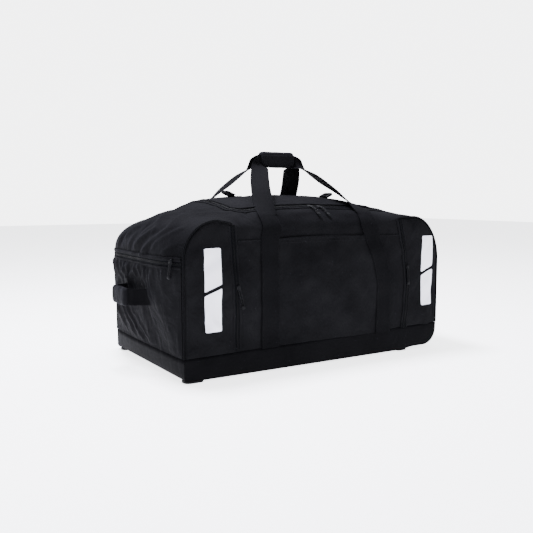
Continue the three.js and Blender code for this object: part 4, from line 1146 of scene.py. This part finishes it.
def on_left_end(y, z, height=0.0):
    return outward(lambda a, b: gusset(end_station(-1, b), -a / half_depth), -y, z, height)


def pleats(y, z):
    """How far the gathered cloth stands out"""
    below = end_zip_low - z
    draw = np.random.default_rng(3)
    centres = np.linspace(-end_side, end_side, gathers) + draw.normal(0, 0.004, gathers)
    total = np.zeros(np.broadcast(y, z).shape)
    for i, centre in enumerate(centres):
        lean = draw.normal(0.12, 0.16)
        reach = draw.uniform(0.030, 0.085)
        tall = draw.uniform(0.0022, 0.0050)
        off = y - centre + lean * below
        wide = 0.0052 + below * 0.06
        total += tall * np.exp(-((off / wide) ** 2)) * np.exp(-below / reach) * smooth(below / 0.012)
    return total


end_folds = [
    ((-0.407, 0.150, 0.215), (-0.397, 0.070, 0.082), 0.0065, 0.0090),
    ((-0.404, 0.110, 0.160), (-0.395, 0.010, 0.070), 0.0060, 0.0090),
    ((-0.404, 0.072, 0.150), (-0.395, -0.030, 0.075), 0.0045, 0.0090),
    ((-0.407, -0.091, 0.150), (-0.393, -0.214, 0.157), 0.0016, 0.0032),
    ((-0.404, 0.176, 0.180), (-0.396, 0.120, 0.076), 0.0050, 0.0080),
    ((-0.404, 0.092, 0.160), (-0.395, -0.020, 0.072), -0.0040, 0.0080),
    ((-0.413, 0.129, 0.211), (-0.418, 0.040, 0.258), 0.0065, 0.0080),
    ((-0.417, 0.055, 0.213), (-0.418, -0.028, 0.258), 0.0065, 0.0085),
    ((-0.415, -0.025, 0.205), (-0.417, -0.075, 0.250), 0.0050, 0.0080),
    ((-0.418, -0.099, 0.256), (-0.415, -0.110, 0.190), 0.0045, 0.0080),
]
y = np.linspace(-end_side, end_side, 150)[:, None]
fall = np.linspace(0, 1, 90)[None, :]
z = end_zip_low + (seam_left + 0.0006 - end_zip_low) * fall + 0 * y
bare = gusset(end_station(-1, z), y / half_depth)
near = np.minimum(end_side - np.abs(y), np.minimum(z - seam_left, end_zip_low + 0.004 - z))
held = smooth(np.clip(near, 0, None) / 0.012)
loose = pleats(y, z) + crease_push(bare, end_folds) + unevenness(bare, 11, 0.14, 0.0009)
outer = on_left_end(y, z, 0.0020 + np.maximum(loose, -0.0008) * held)
points, faces = sew_slab(outer, on_left_end(y, z, 0.0001))
end_cloth = make_piece("end_pocket_cloth", points, faces, polyester, "polyester", sharp=70)
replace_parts(end_cloth, "end_pocket")

zip_y = np.linspace(-end_side, end_side, 60)
route = np.stack([zip_y, 0 * zip_y + (end_zip_top + end_zip_low) / 2], -1)
tape_line, tape_up = lift(route, on_left_end, 0.0011)
tape = swept_piece(
    "end_zip_tape",
    [(tape_line, np.cross(tape_up, np.gradient(tape_line, axis=0)), section_loop(0.0190, tape_thick, 16, 0.4))],
    zip_tape,
    "zip_tape",
)
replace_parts(tape, "end_zip")
coil, coil_up = lift(route, on_left_end, 0.0021)
teeth = [(coil, coil_up)]
repeat_along("end_zip_coil", tooth_tree, teeth, tooth_gap, tooth_size, coil_finish)
lips = []
for offset, wide, tall in ((0.0105, 0.0090, 0.0044), (-0.0095, 0.0070, 0.0036)):
    lip, lip_up = lift(route + (0, offset), on_left_end, 0.0014)
    lips.append((lip, np.cross(lip_up, np.gradient(lip, axis=0)), section_loop(wide, tall, 14, 0.9)))
swept_piece("end_zip_lips", lips, polyester, "polyester")
tab = np.array([(-0.1925, 0.279), (-0.1915, 0.266), (-0.1900, 0.254), (-0.1890, 0.243)])
line, up = lift(tab, on_left_end, 0.0088)
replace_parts(puller("puller_end_zip", line, up), "puller_end")

# Carrying handles
# Two long loops of ribbed webbing, one sewn down the front and one down the back. Each leaves the cloth
# at the shoulder, turns on edge and folds narrow to pass through the grip.
strap_thick = 0.0022
grip_length = 0.105
grip_height = 0.042
grip_depth = 0.032
grip_centre = np.array([-0.006, 0.0, 0.546 - grip_height / 2])
leave_height = crown_height * 0.87
folded_width = 0.034


def strap_line(side, depth_side):
    """Middle, width direction and width of one strap, from the base seam into the grip"""
    x_top = float(strap_place(side, leave_height))
    face_z = np.linspace(0.060, float(edge_line(x_top)) - 0.004, 26)
    face_x = strap_place(side, face_z)
    w = (face_z - cloth_bottom) / (edge_line(face_x) - cloth_bottom)
    over_w = np.linspace(1.006, 1.058, 7)
    all_x = np.concatenate([face_x, np.full(7, x_top)])
    all_w = np.concatenate([w, over_w])
    if depth_side > 0:
        all_w = 3 - all_w
    laid = over_bag(all_x, all_w, 0.0034)
    lead_in = grip_centre + (side * (grip_length / 2 + 0.009), depth_side * 0.015, -0.015)
    leave = laid[-1]
    free = []
    for f, drop in ((0.22, 0.002), (0.45, 0.0), (0.70, 0.0), (0.88, 0.001)):
        at = leave + (lead_in - leave) * f
        free.append(at + np.array([side * 0.008 * math.sin(math.pi * f), 0, -drop]))
    in_grip = [
        lead_in,
        grip_centre + (side * (grip_length / 2 + 0.001), depth_side * 0.005, -0.004),
        grip_centre + (side * (grip_length / 2 - 0.020), depth_side * 0.0022, 0),
        grip_centre + (side * 0.002, depth_side * 0.0022, 0),
    ]
    flat = np.array([-side, 0, 0.0])
    low_turn = turned = np.array([-side * 0.52, depth_side * 0.85, 0])
    if side != depth_side:
        low_lean = 0.24 if side < 0 else 0.40
        high_lean = 0.14 if side < 0 else 0.24
        low_turn = np.array([-side * low_lean, depth_side * math.sqrt(1 - low_lean**2), 0])
        turned = np.array([-side * high_lean, depth_side * math.sqrt(1 - high_lean**2), 0])
    on_edge = np.array([0, 0, -1.0])
    route = np.concatenate([laid, free, in_grip])
    ways = [flat] * len(laid) + [flat * 0.3 + low_turn * 0.7, low_turn, turned, turned * 0.85 + on_edge * 0.15]
    ways += [turned * 0.5 + on_edge * 0.5, on_edge, on_edge, on_edge]
    widths = [strap_width] * (len(laid) + 3) + [0.047, 0.042, folded_width, folded_width, folded_width]
    packed = np.concatenate([route, np.array(ways), np.array(widths)[:, None]], 1)
    scale = np.array([1] * 3 + [0.01] * 4)
    fine = resample(packed * scale, 0.006) / scale
    return fine[:, :3], fine[:, 3:6], fine[:, 6]


for depth_side, face_name in walls:
    parts = []
    for side in (-1, 1):
        centre_line, wide_way, width = strap_line(side, depth_side)
        shape = section_loop(1.0, strap_thick, 22, 0.35)
        thick = np.broadcast_to(shape[:, 1], (len(width), len(shape)))
        loops = np.stack([shape[None, :, 0] * width[:, None], thick], -1)
        parts.append((centre_line, wide_way, loops))
    handle = swept_piece(f"carrying_handle_{face_name}", parts, webbing, "webbing")
    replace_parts(handle, f"{face_name}_handle")

# Grip
# A padded wrap closed round both loops, with foam under the cloth and a shallow dent along its seams.
grip_along = close_at_ends(81, 1.6)
swell = np.sqrt(np.clip(1 - np.abs(grip_along) ** 24, 0.10, 1)) * (1.03 + 0.008 * np.cos(grip_along * 9))
grip_line = grip_centre + np.stack([grip_along * grip_length / 2, 0 * grip_along, 0 * grip_along], -1)
grip_section = section_loop(grip_depth, grip_height, 56, 0.62)
angle = np.arctan2(grip_section[:, 1] / grip_height, grip_section[:, 0] / grip_depth)
seam_dent = sum(np.exp(-(((angle - at) / 0.07) ** 2)) for at in (-2.2, 2.55))
grip_section = grip_section * (1 - 0.05 * seam_dent)[:, None]
padding = cloth_finish(
    "padded_cloth", (0.0044, 0.0044, 0.0052), (0.0074, 0.0074, 0.0086), 0.60, 640.0, 0.0022, 0.02
)
grip = swept_piece(
    "grip_pad",
    [(grip_line, (0, 1, 0), grip_section[None] * swell[:, None, None])],
    padding,
    "polyester",
)
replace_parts(grip, "grip_wrap")

# Grab handle
# A short webbing handle across the left end, sewn flat at both ends, with a padded wrap round its middle.
grab_height = 0.184
grab_width = 0.040
grab_side = 0.062
grab_out = float(gusset(end_station(-1, np.array(grab_height)), 0.0)[0]) - 0.045
seat_x = float(gusset(end_station(-1, np.array(grab_height)), grab_side / half_depth)[0]) - 0.0062
half_run = [
    (seat_x + 0.0100, grab_side + 0.024),
    (seat_x + 0.0075, grab_side + 0.014),
    (seat_x + 0.0010, grab_side + 0.006),
    (seat_x * 0.66 + grab_out * 0.34, grab_side - 0.003),
    (seat_x * 0.28 + grab_out * 0.72, grab_side - 0.010),
    (grab_out + 0.001, grab_side - 0.022),
    (grab_out, grab_side - 0.045),
]
plan = [(x, -y) for x, y in half_run] + [(x, y) for x, y in reversed(half_run)]
grab_line = resample(np.array([(x, y, grab_height) for x, y in plan]), 0.004)
grab = swept_piece(
    "grab_webbing",
    [(grab_line, (0, 0, 1), section_loop(grab_width, 0.0021, 22, 0.35))],
    webbing,
    "webbing",
)
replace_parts(grab, "grab_handle")
wrap_along = np.linspace(-1, 1, 41)
wrap_line = np.stack([grab_out + 0 * wrap_along, wrap_along * 0.046, grab_height + 0 * wrap_along], -1)
wrap_size = np.sqrt(np.clip(1 - np.abs(wrap_along) ** 10, 0.05, 1)) * (1 + 0.03 * np.cos(wrap_along * 7))
wrap_section = section_loop(grab_width + 0.005, 0.0155, 44, 0.62)
wrap = swept_piece(
    "grab_pad",
    [(wrap_line, (0, 0, 1), wrap_section[None] * wrap_size[:, None, None])],
    padding,
    "polyester",
)
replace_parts(wrap, "grab_wrap")

# Strap rings
# A webbing tab on each side of the lid holds a moulded ring for a shoulder strap.
for side, side_name, ring_x in ((-1, "left", -0.152), (1, "right", 0.160)):
    bar_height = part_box(f"ring_tab_{side_name}")[1][2] - 0.0048
    sew = np.linspace(0, 1, 6)
    laid = on_top(ring_x - side * (0.030 - 0.024 * sew), 0 * sew, 0.0014)
    turn = np.linspace(-math.pi / 2, math.pi * 0.8, 12)
    hinge = np.array([ring_x, 0, bar_height])
    round_bar = hinge + 0.0039 * np.stack([side * np.cos(turn), 0 * turn, np.sin(turn)], -1)
    back = hinge + np.array([(-side * 0.006, 0, 0.0022), (-side * 0.012, 0, -0.0002)])
    tab_line = resample(np.concatenate([laid, round_bar, back]), 0.0015)
    tab = swept_piece(
        f"ring_webbing_{side_name}",
        [(tab_line, (0, 1, 0), section_loop(0.027, 0.0016, 18, 0.4))],
        webbing,
        "webbing",
    )
    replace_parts(tab, f"ring_tab_{side_name}")
    turn = np.linspace(0, math.pi / 2, 7)
    corners = [((0.0, -0.0125), 1), ((0.0, 0.0125), 2), ((0.0105, 0.0125), 3), ((0.0105, -0.0125), 4)]
    plan = []
    for (out, over), quarter in corners:
        angle = -turn - math.pi / 2 * quarter
        plan += [(out + 0.0048 * a, over + 0.0048 * b) for a, b in zip(np.cos(angle), np.sin(angle))]
    plan = np.array(plan + plan[:1])
    leant = np.array([side * math.cos(0.45), 0, math.sin(0.45)])
    bar = hinge + plan[:, :1] * leant + plan[:, 1:] * np.array([0, 1.0, 0])
    upward = np.broadcast_to(np.cross(leant, (0, 1.0, 0)), bar.shape)
    ring_parts = [(bar, upward, section_loop(0.0072, 0.0064, 14, 0.8))]
    ring = swept_piece(f"strap_ring_{side_name}", ring_parts, moulded, "plastic")
    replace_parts(ring, f"ring_{side_name}")

# Wheels, housings, skids and feet
# Rubber-tyred wheels turn on pins in moulded housings behind the round corner. Two rubber skids guard
# the edge beside them, and two moulded feet carry the other end.
rubber = plastic_finish("rubber", (0.0050, 0.0050, 0.0056), 0.72, 1400.0, 0.00012)
wheel_x = half_length - wheel_inset
for name in ("wheel_housing", "axle", "skid", "foot"):
    for face_name in ("front", "back"):
        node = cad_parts[f"{name}_{face_name}"]
        for material_slot in node.material_slots:
            material_slot.material = rubber if name == "skid" else moulded
        node.modifiers.new("join", "WELD").merge_threshold = 1e-5
        soften = node.modifiers.new("soften", "BEVEL")
        soften.width = 0.0012 if name != "axle" else 0.0005
        soften.segments = 3
        soften.limit_method = "ANGLE"
        soften.angle_limit = math.radians(40)

# radius and place across, up one face of the wheel to the middle of its tread
half_tread = [
    (0.0045, -0.0118),
    (0.0110, -0.0118),
    (0.0122, -0.0090),
    (0.0230, -0.0088),
    (0.0245, -0.0112),
    (0.0285, -0.0120),
    (0.0308, -0.0108),
    (0.0318, -0.0080),
    (0.0320, -0.0030),
    (0.0314, -0.0022),
]
tread = np.array(half_tread + [(radius, -offset) for radius, offset in reversed(half_tread)])
wheel_radius = 0.032
wheel_steps = 64
for depth_side, face_name in walls:
    turn = np.linspace(0, 2 * math.pi, wheel_steps, endpoint=False)
    centre = np.array([wheel_x, depth_side * wheel_track, wheel_radius])
    radius, offset = tread[:, 0][:, None], tread[:, 1][:, None]
    points = np.stack([radius * np.cos(turn), offset + 0 * turn, radius * np.sin(turn)], -1) + centre
    index = np.arange(len(tread) * wheel_steps).reshape(len(tread), wheel_steps)
    index = np.concatenate([index, index[:, :1]], 1)
    index = np.concatenate([index, index[:1]], 0)
    body = f"wheel_{face_name}_body"
    wheel = make_piece(f"rolling_wheel_{face_name}", points, quads(index), rubber, "rubber", body, sharp=35)
    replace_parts(wheel, f"wheel_{face_name}")

# Stitching
# Lockstitch in black thread along the edges of the arched pockets, the hem of the centre pocket and
# both edges of the straps where they are sewn down.
thread = plastic_finish("thread", (0.0060, 0.0062, 0.0076), 0.6, 2400.0)
stitch_tree = repeat_tree("stitches", True)
stitch_size = (0.0030, 0.0008, 0.0007)
stitch_spacing = 0.0042
strap_stitch_inset = 0.0215
stitch_lines = []
for side in (-1, 1):
    outline = edge_path(side, pocket_inset + 0.0040)
    inside = side * (outline[:, 0] - arch_zip(side, outline[:, 1])) > zip_half + 0.004
    outline = outline[inside & (outline[:, 1] > base_seam(outline[:, 0]) + 0.003)]

    def on_this_pocket(x, z, height, side=side):
        return on_arch_pocket(side, x, z, height)

    stitch_lines.append(lift(resample(outline, 0.006), on_this_pocket, 0.0001))
hem_x = np.linspace(float(strap_place(-1, 0.31)) + 0.03, float(strap_place(1, 0.31)) - 0.03, 60)
for hem_z in (0.3135, 0.3225):
    stitch_lines.append(lift(np.stack([hem_x, 0 * hem_x + hem_z], -1), on_front, 0.0040))
straps = []
for depth_side in (-1, 1):
    for side in (-1, 1):
        z = np.linspace(0.066, 0.318, 60)
        for inset in (-strap_stitch_inset, strap_stitch_inset):
            x = strap_place(side, z) + inset
            w = (z - cloth_bottom) / (edge_line(x) - cloth_bottom)
            w = w if depth_side < 0 else 3 - w
            line = over_bag(x, w, 0.0046)
            up = (over_bag(x, w, 0.0056) - line) * 1000
            straps.append((line, up))
repeat_along("stitching_pockets", stitch_tree, stitch_lines, stitch_spacing, stitch_size, thread)
repeat_along("stitching_straps", stitch_tree, straps, stitch_spacing, stitch_size, thread)

# Floor and light
# A pale floor that gives off some light, a backdrop that is bright only to the camera, a soft key light
# above the left end and a broad weaker light from high on the right.
floor_finish, floor_tree, floor_shader, floor_place = new_finish("floor")
floor_noise = noise_node(floor_tree, floor_place, 1.5, 2.0)
shade_between(floor_tree, floor_shader, floor_noise, 0.0, (0.90, 0.90, 0.915), 1.0, (0.94, 0.94, 0.95))
floor_shader.inputs["Roughness"].default_value = 0.9
floor_shader.inputs["Emission Color"].default_value = (0.97, 0.975, 1.0, 1)
floor_shader.inputs["Emission Strength"].default_value = 3.0
floor_mesh = bpy.data.meshes.new("floor")
floor_mesh.from_pydata([(-9, -9, 0), (9, -9, 0), (9, 9, 0), (-9, 9, 0)], [], [(0, 1, 2, 3)])
floor_mesh.materials.append(floor_finish)
floor = bpy.data.objects.new("floor", floor_mesh)
bpy.context.scene.collection.objects.link(floor)

world = bpy.context.scene.world or bpy.data.worlds.new("studio")
bpy.context.scene.world = world
world.use_nodes = True
world_tree = world.node_tree
room = world_tree.nodes["Background"]
room.inputs["Color"].default_value = (0.94, 0.95, 1.0, 1)
room.inputs["Strength"].default_value = 0.62
backdrop = world_tree.nodes.new("ShaderNodeBackground")
backdrop.inputs["Color"].default_value = (0.98, 0.985, 1.0, 1)
backdrop.inputs["Strength"].default_value = 5.4
seen = world_tree.nodes.new("ShaderNodeMixShader")
world_tree.links.new(world_tree.nodes.new("ShaderNodeLightPath").outputs["Is Camera Ray"], seen.inputs["Fac"])
world_tree.links.new(room.outputs[0], seen.inputs[1])
world_tree.links.new(backdrop.outputs[0], seen.inputs[2])
world_tree.links.new(seen.outputs[0], world_tree.nodes["World Output"].inputs["Surface"])


def soft_light(name, place, target, size, power, colour):
    """A large soft box that faces the bag"""
    data = bpy.data.lights.new(name, "AREA")
    data.shape = "RECTANGLE"
    data.size, data.size_y = size
    data.energy = power
    data.color = colour
    lamp = bpy.data.objects.new(name, data)
    lamp.location = place
    lamp.rotation_mode = "QUATERNION"
    lamp.rotation_quaternion = (Vector(target) - Vector(place)).to_track_quat("-Z", "Y")
    bpy.context.scene.collection.objects.link(lamp)


soft_light("key", (-0.42, 0.35, 2.3), (-0.30, 0.0, 0.3), (0.6, 0.6), 210.0, (0.90, 0.90, 1.0))
soft_light("top", (1.1, 0.5, 3.4), (0.0, 0.2, 0.0), (5.0, 4.0), 170.0, (0.97, 0.975, 1.0))
